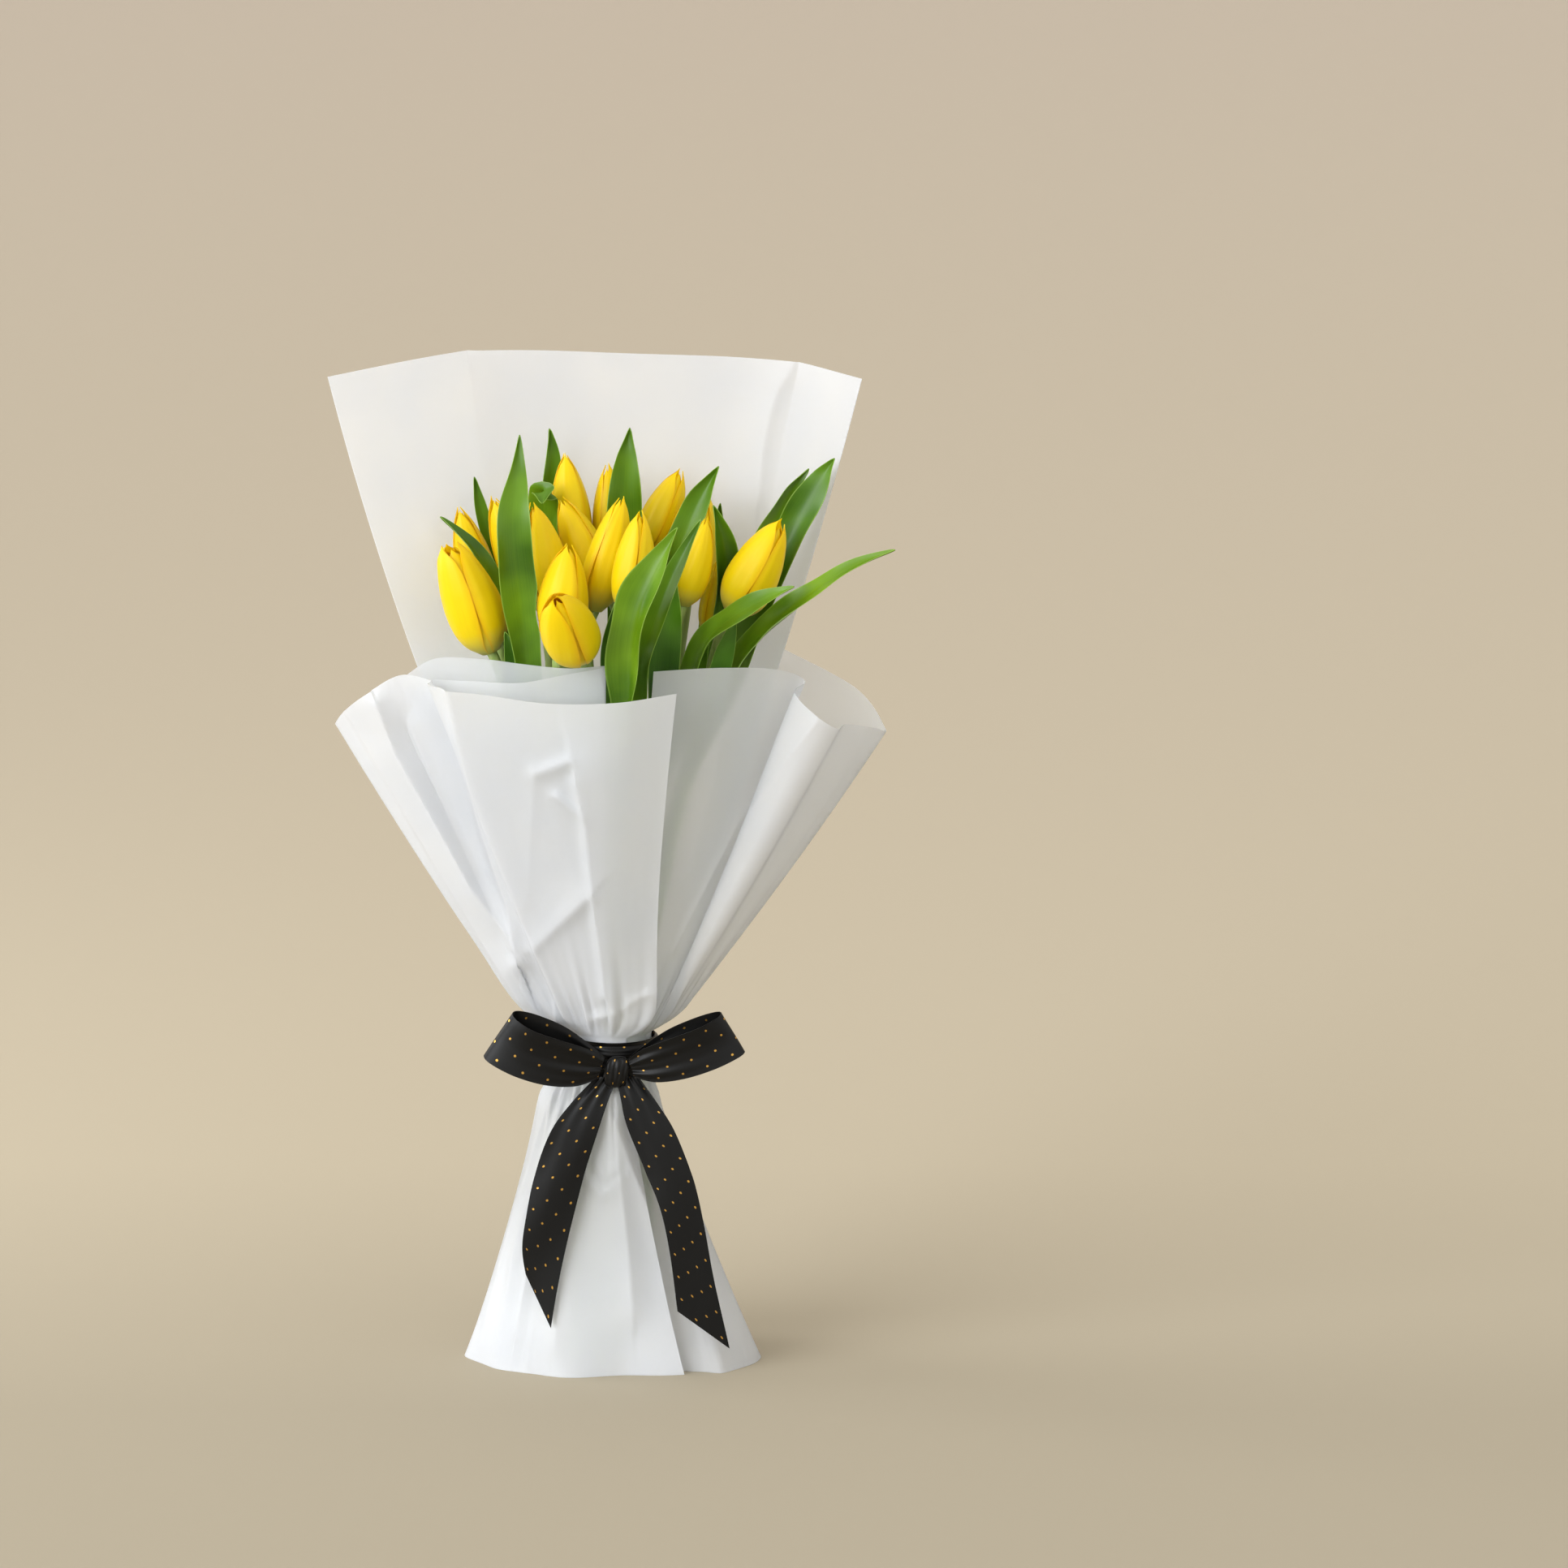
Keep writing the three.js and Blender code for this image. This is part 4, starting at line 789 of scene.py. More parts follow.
def makeLeaf(number, leaf):
    shape = leafShape
    line = np.array(leaf["line"], float)
    stem = stemLines[leaf["stem"]]
    line[0][:2] = [np.interp(line[0][2], stem[:, 2], stem[:, k]) for k in (0, 1)]
    t = np.linspace(0, 1, shape["rows"])
    middle = smoothValue(line[:, :3], t)
    along = unit(smoothValue(line[:, :3], t + 0.02) - smoothValue(line[:, :3], t - 0.02))
    across = unit(np.cross(along, np.array(leaf["face"], float)))
    hollow = np.cross(across, along)
    half = np.maximum(smoothValue(line[:, 3], t), shape["leastHalf"])
    point = np.sqrt(np.clip((1 - t) / (1 - shape["pointFrom"]), 0, 1))
    point = point * (1 - shape["pointWidth"]) + shape["pointWidth"]
    half = half * np.where(t > shape["pointFrom"], point, 1)
    straight = np.linspace(-1, 1, shape["columns"])
    phase = shape["phaseStep"] * number
    # each edge waves by itself, and the tip folds up into a hood
    reach = t[:, None] * np.linalg.norm(np.diff(line[:, :3], axis=0), axis=-1).sum()
    rise = np.sin(np.pi * np.clip((t[:, None] - 0.25) / 0.7, 0, 1))
    left, right = shape["waveLengths"]
    edge = np.where(straight < 0, np.sin(reach / left + phase), np.sin(reach / right - 1.3 * phase))
    wave = shape["wave"] * rise * edge * np.abs(straight) ** 2.5
    hood = np.clip((t[:, None] - shape["hoodFrom"]) / (1 - shape["hoodFrom"]), 0, 1)
    cup = leaf["cup"][0] + (leaf["cup"][1] - leaf["cup"][0]) * t[:, None] + shape["hood"] * hood
    lift = cup * (np.abs(straight) ** 1.7 - 0.5) + wave
    c = straight * (1 - shape["hoodNarrows"] * hood)
    points = (middle[:, None] + across[:, None] * (half[:, None] * c)[..., None]
              + hollow[:, None] * (half[:, None] * lift)[..., None])
    points = bentOffStems(bentOffBuds(points), leaf["stem"])
    for _ in range(2):  # eases the bends where it was moved
        points[1:-1] = (points[:-2] + 2 * points[1:-1] + points[2:]) / 4
    thickness = shape["thickness"] * (1 - 0.65 * np.abs(straight) ** 4)
    # the painted light is the whole part of U, so U stops just short of the next whole number
    u = leaf["paintedLight"] + np.linspace(0.005, 0.995, shape["columns"])
    return thickBlade("leaf", points, thickness, np.stack(np.broadcast_arrays(u, t[:, None]), -1))


for name in flowers:
    stem = finishMesh("stem_" + name + "_stalk", makeStem(name), stemMaterial)
    dress(stem, "stem_" + name)
    blades = [makeLeaf(k, leaf) for k, leaf in enumerate(leaves) if leaf["stem"] == name]
    if blades:
        blade = finishMesh("stem_" + name + "_leaves", joinMeshes("leaves", blades), leafMaterial, 60)
        dress(blade, "stem_" + name)
print("stems and leaves made")


# film sheets: folds as the point on the top edge, the angle at the tie, the point on the hem;
# the bulge of a sheet's two side edges, and the folds where its top edge is creased

wrap = {
    "thickness": 0.35, "gap": 0.5, "solidThickness": 0.7, "firstRadius": 17.6,
    "neckTop": 169, "neckBottom": 148, "gatherEnd": 324,
    # rows of points over, in and under the tie, crowded towards it
    "rowsOver": 104, "rowsIn": 8, "rowsUnder": 56, "crowded": 1.15,
    # beside the tie the gathers stand out: the side, how wide round, and how far
    "gathersAbove": [(178, 32, 20), (5, 35, 9)], "gathersBelow": [(178, 32, 15)],
    # small gathers round the tie: how far, how fast round in radians a degree, and the start
    "ripples": [(1, 0.55, 0.4), (0.8, 0.31, 2.1), (0.5, 0.83, 1.0)],
}

sheets = {
    "back_sheet": {"ring": 0, "bulge": (0.34, 0.21), "columns": 200, "creases": (2, 6), "folds": [
        ((-138, -18, 502), 182, (-60, 2)), ((-107, 14, 504), 160, (-60, 18)),
        ((-72, 46, 506), 138, (-46, 36)), ((-36, 51, 505), 116, (-27, 45)),
        ((10, 53, 503), 90, (2, 47)), ((55, 50, 502), 66, (29, 44)),
        ((93, 40, 501), 42, (48, 35)), ((108, 18, 500), 20, (59, 18)),
        ((124, -5, 499), -2, (60, 4))]},
    "inner_sheet": {"ring": 0, "bulge": (0.1, 0.1), "columns": 160, "turnsBackAfter": 5, "folds": [
        ((-104, -13, 350), 188), ((-87, -19, 361.5), 197), ((-63, -33, 364), 208),
        ((-42, -47, 364), 223), ((-20, -55.5, 363.5), 240), ((-4, -60, 365.5), 254),
        ((-3, -64, 365.5), 257), ((-20, -68, 363), 243), ((-43, -69, 359), 226),
        ((-68, -56, 357.5), 209), ((-98, -27, 353), 195)]},
    "right_sheet": {"ring": 1, "bulge": (0.1, 0.1), "columns": 220, "folds": [
        ((85, 44, 355), 60, (40, 46)), ((122, 20, 339), 38, (63, 26)),
        ((136, 2, 322), 18, (73, 4)), ((130, -20, 327), 5, (71, -10)),
        ((116, -37, 332), -7, (66, -22)), ((112, -54, 333), -16, (59, -31)),
        ((102, -58, 340), -23, (55, -33)), ((91, -44, 349), -30, (50, -32)),
        ((96, -27, 352), -37, (45, -30)), ((84, -36, 359), -46, (38, -30)),
        ((59, -50, 363), -59, (26, -31)), ((22, -61, 363), -74, (7, -33))]},
    "front_sheet": {"ring": 2, "bulge": (0.06, 0.06), "columns": 230, "edgeStands": 17, "folds": [
        ((-99, 42, 344), 124, (-50, 42)), ((-127, 14, 332), 148, (-68, 22)),
        ((-137, 0, 325), 166, (-74, 2)), ((-132, -10, 334), 179, (-71, -10)),
        ((-119, -27, 347), 192, (-63, -21)), ((-103, -33, 356), 203, (-55, -26)),
        ((-88, -46, 356), 212, (-48, -30)), ((-87, -61, 356), 220, (-43, -34)),
        ((-62, -76, 355), 233, (-32, -39)), ((-30, -86, 352), 251, (-14, -40)),
        ((3, -90, 353), 271, (11, -38)), ((32, -82, 356), 290, (35, -35))]},
}

# marks pressed into a sheet, placed as the camera sees them: x and height of the line,
# how far it stands out, and how wide it falls away on its left and on its right
marks = {
    "back_sheet": [
        ([(-69, 508), (-75, 471), (-81, 430), (-84, 398), (-86, 365)], 3.2, 16, 20),
        ([(92.5, 502), (83, 488), (78, 471), (75, 455), (73, 431)], 3.0, 9, 5),
        ([(-118, 494), (-112, 440), (-101, 380)], 1.2, 22, 22),
    ],
    "inner_sheet": [],
    "right_sheet": [
        ([(60, 352), (50, 290), (36, 240)], 1.4, 9, 9),
        ([(102, 320), (62, 268), (30, 205)], 1.4, 3, 3),
        # below the tie, beside the front sheet
        ([(44, 76), (62, 30), (70, 5)], 1.6, 2, 6),
        ([(36, 110), (56, 50), (66, 2)], 1.6, 1.2, 5),
    ],
    "front_sheet": [
        ([(-134, 323), (-92, 251), (-48, 179)], 3.0, 1.0, 7),
        ([(-120, 331), (-110, 305), (-89, 268), (-72, 237), (-55, 215), (-49, 200)], 11, 12, 6.5),
        ([(-103, 318), (-84, 272), (-66, 234), (-53, 205)], -3.5, 7, 7),
        ([(-85, 337), (-80, 314), (-69, 271), (-60, 244), (-54, 227), (-50.5, 207)], 7.5, 1.4, 18),
        ([(-40, 294), (-22.5, 300.5)], 3.4, 5, 4),
        ([(-40, 294), (-42, 262), (-44, 230)], 1.5, 9, 4),
        ([(-29.4, 283), (-15.6, 272)], 3.2, 4, 2.6),
        ([(-22.5, 300.5), (-17, 276)], 1.5, 2.5, 3.5),
        ([(-19.7, 290), (-15.6, 272), (-12, 239), (-8.6, 212), (-5.4, 187), (-4.6, 182)], 5.0, 2.4, 18),
        ([(-12, 233), (-41, 206)], 4.6, 11, 6),
        ([(-41, 206), (-30.5, 181), (-28.8, 166)], 3.4, 1.6, 10),
        ([(-49.6, 207), (-29.4, 170.5)], 2.8, 1.6, 6),
        ([(-64, 244), (-55, 237)], 1.2, 3, 3),
        ([(-4.6, 182), (0.4, 173)], 1.8, 2.5, 3),
        ([(-11, 170.5), (0.4, 173), (8, 179), (16.6, 183)], 2.6, 4, 3),
        ([(24.6, 212), (28, 195.5), (22.4, 182)], 1.6, 4, 1.2),
        ([(6, 330), (10, 280), (9, 220)], 0.8, 14, 18),
        # below the tie
        ([(-33, 130), (-52, 72), (-68, 8)], 3.0, 1.6, 5),
        ([(-28, 125), (-50, 60), (-60, 2)], 3.0, 2.2, 6),
        ([(-22, 128), (-40, 67), (-50, 10)], 3.4, 3.0, 9),
        ([(-16, 92), (-6, 81), (7, 93)], 3.0, 3, 4),
        ([(-9, 99), (-4, 90), (3, 97)], -3.0, 4, 4),
        ([(-1, 134), (2, 100), (7, 55), (9.5, 23)], 4.5, 12, 7),
        ([(0, 120), (12, 88), (29.5, 49), (36, 20)], 4.0, 9, 2.5),
        ([(-18, 96), (-26, 50), (-30, 4)], 3.0, 10, 12),
    ],
}


def seen(points):
    # where the photo's camera sees each point, in millimetres at the distance of the tie
    tilt = math.radians(camera["pitch"])
    away = points - np.array(camera["place"])
    depth = away[..., 1] * math.cos(tilt) - away[..., 2] * math.sin(tilt)
    rise = away[..., 1] * math.sin(tilt) + away[..., 2] * math.cos(tilt)
    pixel, (left, low) = camera["pixel"], camera["originPixel"]
    scale = camera["focalPixels"] / depth * pixel
    middle = camera["framePixels"] / 2
    return (away[..., 0] * scale + (middle - left) * pixel, rise * scale + (low - middle) * pixel)


def pressed(grid, lines, amount):
    # brings the sheet towards the camera along each line, most at the line itself
    x, z = seen(grid)
    push = np.zeros(x.shape)
    for line, height, left, right in lines:
        line = np.array(line, float)
        best = np.full(x.shape, 1e9)
        side = np.zeros(x.shape)
        for start, end in zip(line[:-1], line[1:]):
            run = end - start
            span = math.hypot(*run)
            f = np.clip(((x - start[0]) * run[0] + (z - start[1]) * run[1]) / span ** 2, 0, 1)
            far = np.hypot(x - start[0] - f * run[0], z - start[1] - f * run[1])
            # the lines run downwards, so their left is the viewer's left
            turn = (x - start[0]) * run[1] - (z - start[1]) * run[0]
            near = far < best
            side = np.where(near, -np.sign(turn), side)
            best = np.minimum(best, far)
        width = np.where(side < 0, left, right)
        rise = height * np.exp(-(best / width) ** 1.15)
        # ridges that run together don't pile up
        push = np.hypot(push, rise) if height > 0 else push + rise
    return grid - np.array([0, 1, 0]) * (push * amount)[..., None]


def pleats(angle, z):
    # the same small gathers run through every layer, so the layers never cross
    ripple = sum(height * np.sin(angle * rate + start) for height, rate, start in wrap["ripples"])
    over = z - wrap["neckTop"]
    under = wrap["neckBottom"] - z
    above = np.clip((over - 1) / 10, 0, 1) * np.exp(-np.clip(over - 15, 0, None) / 16)
    below = np.clip((under - 1) / 10, 0, 1) * np.exp(-np.clip(under - 12, 0, None) / 14)
    hem = np.exp(-z / 16) * np.sin(np.radians(angle) * 9 + 0.7)
    return ripple * (0.8 * above + 0.6 * below) + 1.5 * hem


def gathered(angle, z):
    # how far the film stands out beside the tie, at this angle and height
    def most(rows):
        total = 0
        for side, width, reach in rows:
            turn = ((angle - side + 540) % 360 - 180) / width
            total = total + reach * np.exp(-turn ** 2)
        return total

    up = np.clip(z - wrap["neckTop"], 0, None)
    down = np.clip(wrap["neckBottom"] - z, 0, None)
    fade = np.clip(1 - up / (wrap["gatherEnd"] - wrap["neckTop"]), 0, 1)
    above = most(wrap["gathersAbove"]) * (1 - np.exp(-up / 5)) * fade
    below = most(wrap["gathersBelow"]) * (1 - np.exp(-down / 4)) * (1 - down / wrap["neckBottom"])
    return above + below


def creased(values, sheet, u):
    # the same curve, but broken at the sheet's creases
    ends = [0, *sheet["creases"], len(values) - 1]
    place = u * (len(values) - 1)
    parts = []
    for first, last in zip(ends[:-1], ends[1:]):
        inside = (place >= first) & ((place < last) | (last == ends[-1]))
        part = smoothValue(values[first:last + 1], (place[inside] - first) / (last - first))
        parts.append(part)
    return np.concatenate(parts)


def filmGrid(name, sheet):
    folds = sheet["folds"]
    u = np.linspace(0, 1, sheet["columns"])
    soft = smoothValue([fold[0] for fold in folds], u)
    sharp = creased([fold[0] for fold in folds], sheet, u) if "creases" in sheet else soft
    angle = smoothValue([fold[1] for fold in folds], u)
    place = u * (len(folds) - 1)
    outward = np.clip(place - sheet["turnsBackAfter"] + 1, 0, 1) if "turnsBackAfter" in sheet else 0 * u
    spacing = wrap["solidThickness"] + wrap["gap"]
    radius = wrap["firstRadius"] + wrap["solidThickness"] / 2 + (sheet["ring"] + outward) * spacing
    turn = np.radians(angle)
    neck = np.stack([radius * np.cos(turn), radius * np.sin(turn), np.full_like(u, wrap["neckTop"])], -1)
    low = neck * (1, 1, 0) + (0, 0, wrap["neckBottom"])
    bulge = np.interp(u, (0, 1), sheet["bulge"])
    rows = []
    for s in np.linspace(1, 0, wrap["rowsOver"]) ** wrap["crowded"]:
        blend = np.clip((s - 0.5) / 0.5, 0, 1) ** 2
        top = soft + (sharp - soft) * blend
        out = s + bulge * s * (1 - s)
        point = neck + (top - neck) * out[:, None]
        point[:, 2] = wrap["neckTop"] + (top[:, 2] - wrap["neckTop"]) * s
        # the free edge of the sheet springs sideways above the tie
        spring = sheet.get("edgeStands", 0) * math.exp(-s / 0.4) * (1 - math.exp(-s / 0.04))
        point[:, 0] += spring * np.clip((u - 0.8) / 0.2, 0, 1) ** 1.5
        rows.append(point)
    for f in np.linspace(0, 1, wrap["rowsIn"])[1:]:
        rows.append(neck + (low - neck) * f)
    if len(folds[0]) > 2:
        hem = smoothValue([(*fold[2], 0) for fold in folds], u)
        for f in np.linspace(0, 1, wrap["rowsUnder"])[1:]:
            rows.append(low + (hem - low) * (f ** wrap["crowded"], f ** wrap["crowded"], f))
    grid = np.array(rows)
    outwards = unit(grid * (1, 1, 0))
    around = np.degrees(np.arctan2(grid[..., 1], grid[..., 0]))
    stand = pleats(angle[None, :], grid[..., 2]) + gathered(around, grid[..., 2])
    grid += outwards * stand[..., None]
    # marks end at the tie, and only the side towards the camera has them
    z = grid[..., 2]
    below = np.clip((wrap["neckBottom"] - z) / 8, 0, 1) * np.clip(0.25 + z / 60, 0, 1)
    amount = np.clip((z - wrap["neckTop"]) / 8, 0, 1) + below
    if name != "back_sheet":
        amount = amount * np.clip((u - 0.16) / 0.06, 0, 1)
    return pressed(grid, marks[name], amount), u


def makeSheet(name, sheet):
    grid, u = filmGrid(name, sheet)
    rows = np.linspace(0, 1, len(grid))
    uv = np.stack(np.broadcast_arrays(u, rows[:, None]), -1)
    mesh = thickBlade(name, grid, wrap["thickness"], uv, level=True)
    return dress(finishMesh(name + "_film", mesh, filmMaterials[name]), name)


filmPieces = {name: makeSheet(name, sheet) for name, sheet in sheets.items()}
print("film sheets made")


# ribbon

ribbon = {
    "band": 21.2, "thickness": 0.45, "width": 25, "drawnIn": 18.4, "tie": 158.3,
    "knot": (2.2, -26.2, 153.5), "knotHalf": (6, 4.2, 8.2),
    # the band's gathers: height, rate across, and how they follow its drift round the neck
    "bandStands": 0.75, "bandGathers": [(0.55, 8.5, 2.4), (0.22, 19, -3)],
    # the loops start inside the knot, their gathers fade out along them, and their ends flare:
    # how much, how far along, and over what length
    "loopInside": 2.6, "gatherFade": 13, "flare": (2.2, 58, 12),
}


def ribbonPiece(name, grid):
    # a strip whose rows run along it; its UV map counts millimetres across and along
    steps = np.linalg.norm(np.diff(grid.mean(axis=1), axis=0), axis=-1)
    along = np.concatenate([[0], np.cumsum(steps)])
    across = np.linspace(0, ribbon["width"], grid.shape[1])
    uv = np.stack(np.broadcast_arrays(across, along[:, None]), -1)
    mesh = thickBlade(name, grid, ribbon["thickness"], uv)
    return dress(finishMesh(name + "_satin", mesh, ribbonMaterial, 60), name)


def makeBand():
    # drawn in by crossed gathers that run round the neck
    angles = np.radians(np.linspace(-90, 270, 241))
    across = np.linspace(-1, 1, 41)
    rows = []
    for angle in angles:
        drift = 0.5 * math.sin(angle) + 0.35 * math.sin(2 * angle + 1)
        gather = sum(height * np.sin(rate * across + follow * drift)
                     for height, rate, follow in ribbon["bandGathers"])
        radius = ribbon["band"] + ribbon["bandStands"] + gather - 0.8 * across ** 6
        z = ribbon["tie"] + across * ribbon["drawnIn"] / 2 + 0.5 * math.sin(angle - 0.6)
        rows.append(np.stack([radius * np.cos(angle), radius * np.sin(angle), z], -1))
    return ribbonPiece("ribbon_band", np.array(rows))


def makeKnot():
    # a strip pulled tight over itself: its gathers slant across the knot
    middle, (wide, deep, high) = ribbon["knot"], ribbon["knotHalf"]
    across = np.linspace(-1, 1, 41)
    crown = 1 - 0.32 * across ** 4
    rows = []
    for turn in np.radians(np.linspace(0, 360, 91)):
        y = math.cos(turn)
        z = math.sin(turn)
        pinch = 1 - 0.2 * abs(z) ** 2 - 0.08 * math.cos(2 * turn + 0.8)
        fold = 0.5 * np.sin(7.5 * across + 2.2 * z) + 0.25 * np.sin(15 * across - 1.5 * z + 1)
        rows.append(np.stack([
            middle[0] + across * wide * pinch + 0.9 * z,
            middle[1] - np.sign(y) * abs(y) ** 0.75 * (deep * crown - 0.5 + fold * 0.6),
            middle[2] + np.sign(z) * abs(z) ** 0.85 * (high - 0.4) * crown], -1))
    return ribbonPiece("ribbon_knot", np.array(rows))


# reach along the bow, depth, half width and rise, from the knot and back to it
loopPath = [
    (4.6, -29.5, 5.5, 0), (14, -33.5, 10, -1.5), (28, -35.5, 12, -3), (43.5, -35.5, 12.5, -3),
    (55, -33, 12.5, -1), (58.4, -29.5, 12.5, 1), (55, -26.2, 12.5, 2.5), (43, -25.6, 12.5, 3),
    (28, -25.6, 11.5, 2.5), (14, -25.8, 8, 1.5), (4.6, -26.8, 5, 0.5),
]

# which way a loop goes, how steeply, how far it hangs open, how wide it stands, and how much its
# end flares
loops = {
    "ribbon_loop_left": {"side": -1, "tilt": 18, "slump": 1, "fullness": 1, "flare": 1.6},
    "ribbon_loop_right": {"side": 1, "tilt": 19.5, "slump": 0.55, "fullness": 0.9, "flare": 1},
}


def makeLoop(name, loop):
    side, middle = loop["side"], ribbon["knot"]
    turn = math.radians(loop["tilt"])
    along = np.array([side * math.cos(turn), 0, math.sin(turn)])
    width = np.array([-side * math.sin(turn), 0, math.cos(turn)])
    t = np.linspace(0, 1, 150)
    path = smoothValue(loopPath, t)
    c = np.linspace(-1, 1, 31)
    reach = ribbon["knotHalf"][0] + path[:, 0] - ribbon["loopInside"]
    near = np.exp(-(path[:, 0] - loopPath[0][0]) / ribbon["gatherFade"])
    # gathers fan out from the knot, and the cloth between them lies smooth
    folds = near[:, None] * (0.75 * np.sin(6.5 * c + 1 + side) + 0.4 * np.sin(13 * c - side))
    folds = folds + 0.35 * np.sin(2.6 * c + 6 * t[:, None]) * np.sin(np.pi * t)[:, None]
    bow = 0.6 * np.sin(np.pi * t)[:, None] * c ** 2
    most, end, over = ribbon["flare"]
    flare = most * np.exp(-((path[:, 0] - end) / over) ** 2)[:, None] * c * loop["flare"]
    y = path[:, 1][:, None] + folds - bow
    rise = path[:, 3][:, None] * loop["slump"] + path[:, 2][:, None] * c * loop["fullness"]
    grid = (np.array([middle[0], 0, middle[2]]) + along * (reach[:, None] - flare)[..., None]
            + width * rise[..., None] + np.array([0, 1, 0]) * y[..., None])
    return ribbonPiece(name, grid)


# the slant of the cut end, how the strip leans and turns, and its middle line as x, y, z, half width
tails = {
    "ribbon_tail_left": {"slant": 26, "lean": 0.18, "turn": -4.5, "line": [
        (-2.5, -25.2, 151, 6), (-11, -28.3, 139, 9.6), (-18.5, -31, 125, 12.2), (-26, -33, 103, 12.5),
        (-32.4, -35, 76, 10.8), (-36, -36, 56, 9), (-37, -36, 38, 6.2)]},
    "ribbon_tail_right": {"slant": 20, "lean": -0.18, "turn": 2, "line": [
        (7.5, -25.2, 151, 6), (13.5, -28.3, 139, 9.2), (19.5, -31, 125, 12), (29, -34, 101, 11.6),
        (35, -36, 81, 10.8), (39.8, -37.5, 56, 11), (45.5, -39, 24, 13)]},
}


def makeTail(name, tail):
    line = np.array(tail["line"], float)
    t = np.linspace(0, 1, 90)
    middle = smoothValue(line[:, :3], t)
    half = smoothValue(line[:, 3], t)[:, None]
    c = np.linspace(-1, 1, 23)
    x = middle[:, :1] + half * c
    folds = 0.8 * np.exp(-t / 0.14)[:, None] * np.sin(9 * c + 0.8)
    folds = folds + 0.5 * np.sin(2.2 * c + 9 * t[:, None]) * np.sin(np.pi * t)[:, None]
    turned = tail["turn"] * c * np.clip(t - 0.35, 0, 1)[:, None]
    y = middle[:, 1:2] + 1.2 * c ** 2 * (1 - t[:, None]) + folds + turned
    z = (middle[:, 2:3] - c * tail["slant"] / 2 * np.maximum(2 * t[:, None] - 1, 0)
         + tail["lean"] * c * half * (1 - t[:, None]))
    return ribbonPiece(name, np.stack(np.broadcast_arrays(x, y, z), -1))


ribbonPieces = {
    "ribbon_band": makeBand(),
    "ribbon_knot": makeKnot(),
    **{name: makeLoop(name, loop) for name, loop in loops.items()},
    **{name: makeTail(name, tail) for name, tail in tails.items()},
}
print("ribbon made")


# floor, backdrop, light and camera

# in metres; the wall stands further off than the camera, so it never hides the bunch's back
studio = {
    "near": "#a79d89", "far": "#b8ad97", "back": "#baafa0", "shadeFrom": -0.1, "shadeTo": 6.9,
    "wallAt": 7.6, "bend": 0.6, "bendSteps": 16, "halfWidth": 19.0, "front": -12.0, "height": 15.0,
    "toothPerMetre": 400.0, "roughness": 0.9,
}


def makePaperMaterial():
    # background paper: uncoated and rolled, so it is matt with a fine tooth; its colour is painted light,
    # paler from the front of the floor towards the back and up the wall
    material, tree = startMaterial("seamlessPaper")
    place = addNode(tree, "ShaderNodeTexCoord").outputs["Object"]
    tooth = addNode(tree, "ShaderNodeTexNoise", {"Vector": place, "Scale": studio["toothPerMetre"]})
    bump = addNode(tree, "ShaderNodeBump", {"Height": tooth.outputs["Fac"], "Strength": 0.04})
    depth = addNode(tree, "ShaderNodeSeparateXYZ", {"Vector": place})
    # painted light: the paper's colour turns paler from the front of the floor to the back and the wall
    shade = addNode(tree, "ShaderNodeMapRange", {
        "Value": depth.outputs["Y"], "From Min": studio["shadeFrom"], "From Max": studio["shadeTo"]})
    tint = addNode(tree, "ShaderNodeValToRGB", {"Fac": shade}, [
        (0.0, studio["near"]), (0.07, studio["far"]), (1.0, studio["back"])])
    paper = addNode(tree, "ShaderNodeBsdfPrincipled", {
        "Base Color": tint, "Normal": bump, "Roughness": studio["roughness"]})
    addNode(tree, "ShaderNodeOutputMaterial", {"Surface": paper})
    return material


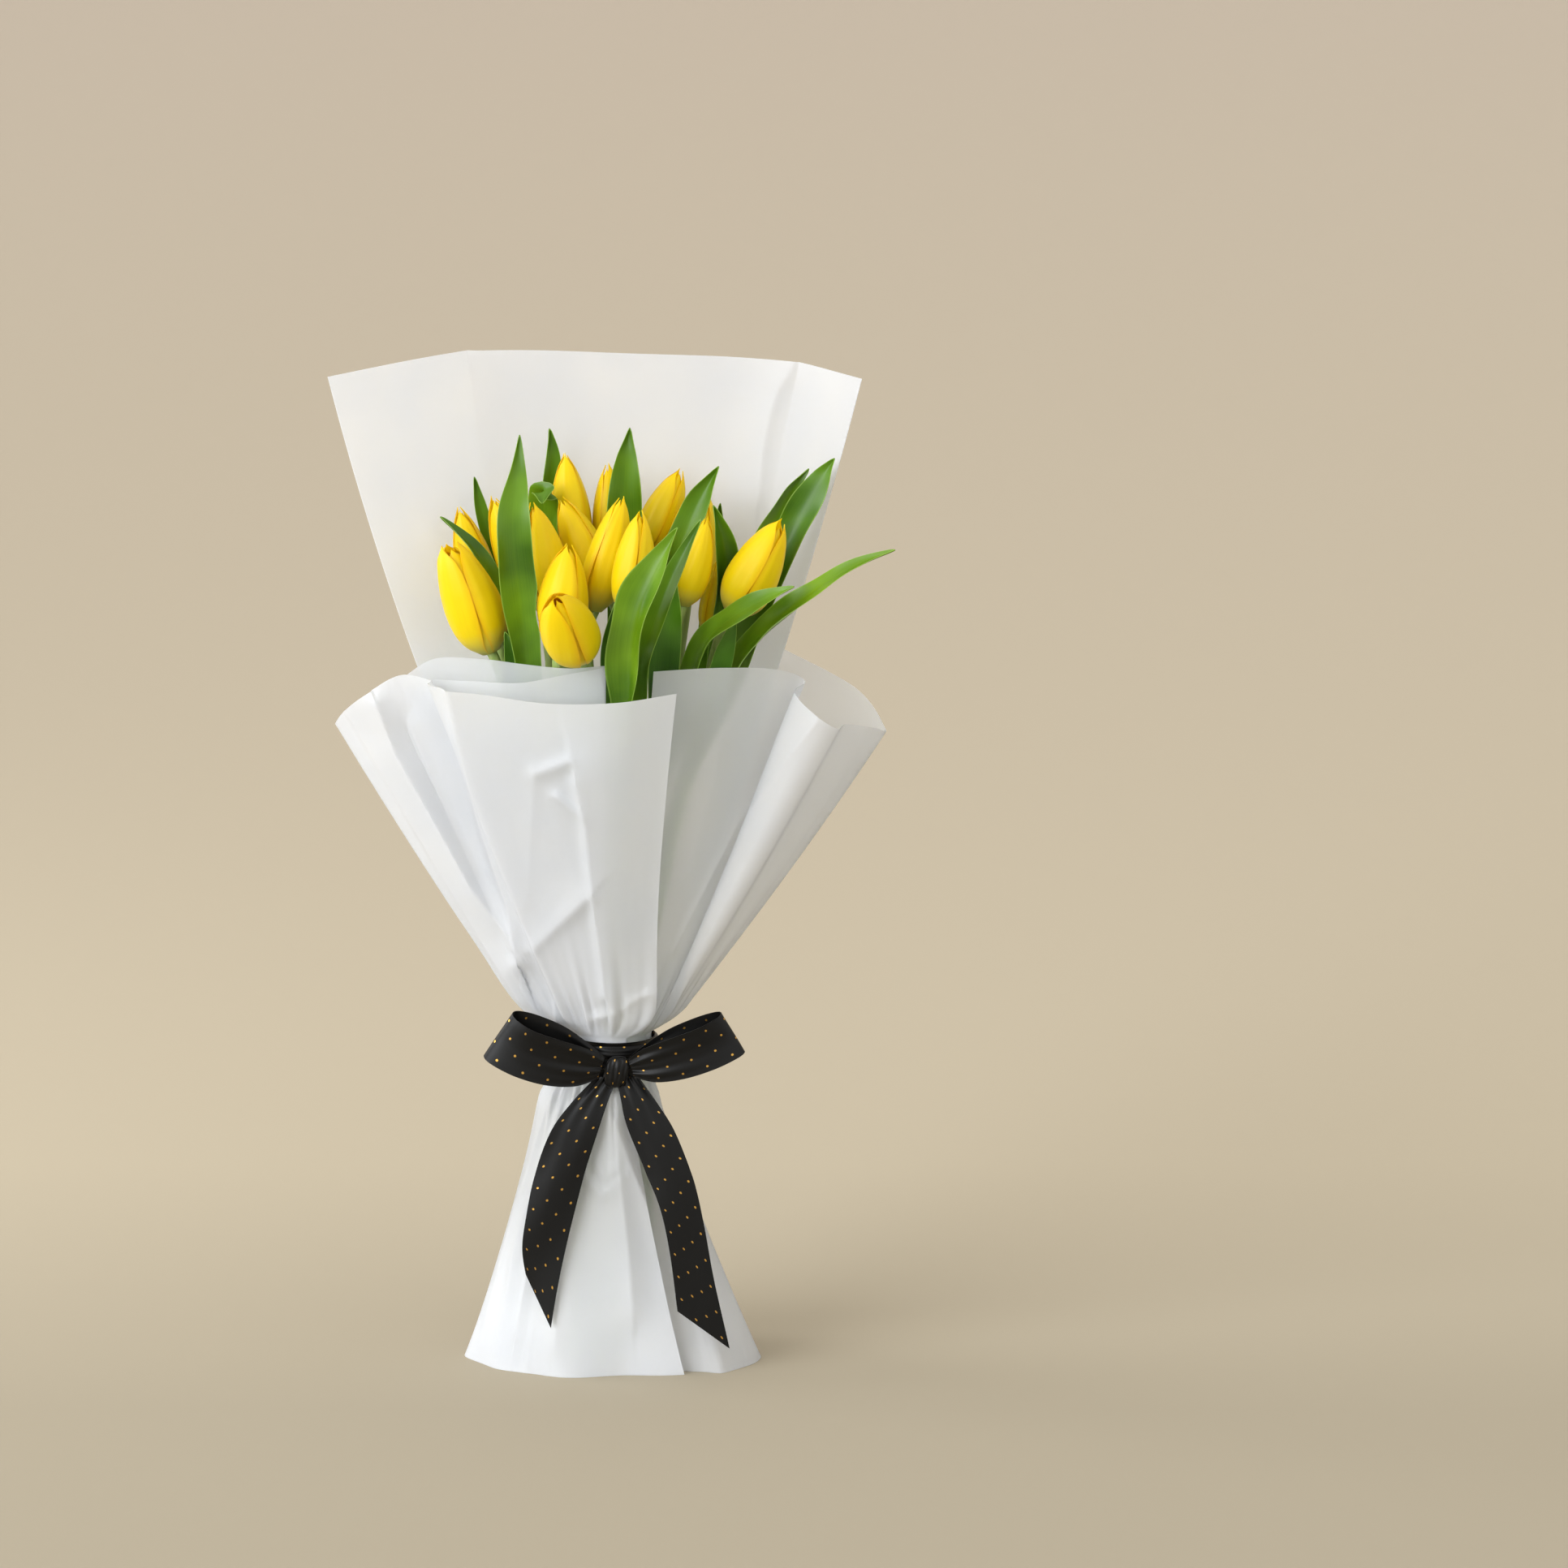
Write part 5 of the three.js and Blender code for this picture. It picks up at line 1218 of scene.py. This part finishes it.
def makeStudio():
    # one seamless sweep of paper: flat floor, round bend, upright wall
    bend, wall, steps = studio["bend"], studio["wallAt"], studio["bendSteps"]
    profile = [(studio["front"], 0.0)]
    for k in range(steps + 1):
        angle = math.radians(90 * k / steps)
        profile.append((wall - bend + bend * math.sin(angle), bend - bend * math.cos(angle)))
    profile.append((wall, studio["height"]))
    points = [(x * studio["halfWidth"], y, z) for y, z in profile for x in (-1, 1)]
    faces = [(2 * k, 2 * k + 1, 2 * k + 3, 2 * k + 2) for k in range(len(profile) - 1)]
    mesh = bpy.data.meshes.new("sweep")
    mesh.from_pydata(points, [], faces)
    finishMesh("paper_sweep", mesh, makePaperMaterial(), 60)


# a very broad key from the upper left, a low broad fill from the right, and a softbox, in metres,
# that lights the left edge
lights = {
    "keyPanel": {"kind": "SUN", "tint": "#f6faff", "power": 2.45, "spread": 46,
                 "towards": (0.72, 0.64, -0.34)},
    "fillPanel": {"kind": "SUN", "tint": "#f6faff", "power": 0.5, "spread": 90,
                  "towards": (-0.6, 0.75, 0.1)},
    "edgeSoftbox": {"kind": "AREA", "tint": "#ffffff", "power": 9, "size": 0.8,
                    "place": (-1.5, 0.35, 0.6), "towards": (1.4, -0.35, -0.2)},
}
air = {"tint": "#fefcf8", "strength": 1.02}


def addLight(name, light):
    data = bpy.data.lights.new(name, light["kind"])
    data.color = colour(light["tint"])[:3]
    data.energy = light["power"]
    if light["kind"] == "SUN":
        data.angle = math.radians(light["spread"])
    else:
        data.size = light["size"]
    lamp = bpy.data.objects.new(name, data)
    lamp.location = light.get("place", (0, 0, 0))
    lamp.rotation_euler = Vector(light["towards"]).to_track_quat("-Z", "Y").to_euler()
    bpy.context.scene.collection.objects.link(lamp)


makeStudio()
for name, light in lights.items():
    addLight(name, light)

world = bpy.data.worlds.new("studioAir")
world.use_nodes = True
world.node_tree.nodes["Background"].inputs["Color"].default_value = colour(air["tint"])
world.node_tree.nodes["Background"].inputs["Strength"].default_value = air["strength"]
bpy.context.scene.world = world
bpy.context.scene.view_settings.view_transform = "Standard"

lens = bpy.data.cameras.new("photoCamera")
lens.sensor_width = camera["sensor"]
lens.lens = camera["sensor"] * camera["focalPixels"] / camera["framePixels"]
lens.clip_end = 50
view = bpy.data.objects.new("photoCamera", lens)
view.location = Vector(camera["place"]) * mm
view.rotation_euler = (math.radians(90 - camera["pitch"]), 0, 0)
bpy.context.scene.collection.objects.link(view)
bpy.context.scene.camera = view
print("studio made")

bpy.context.view_layer.update()
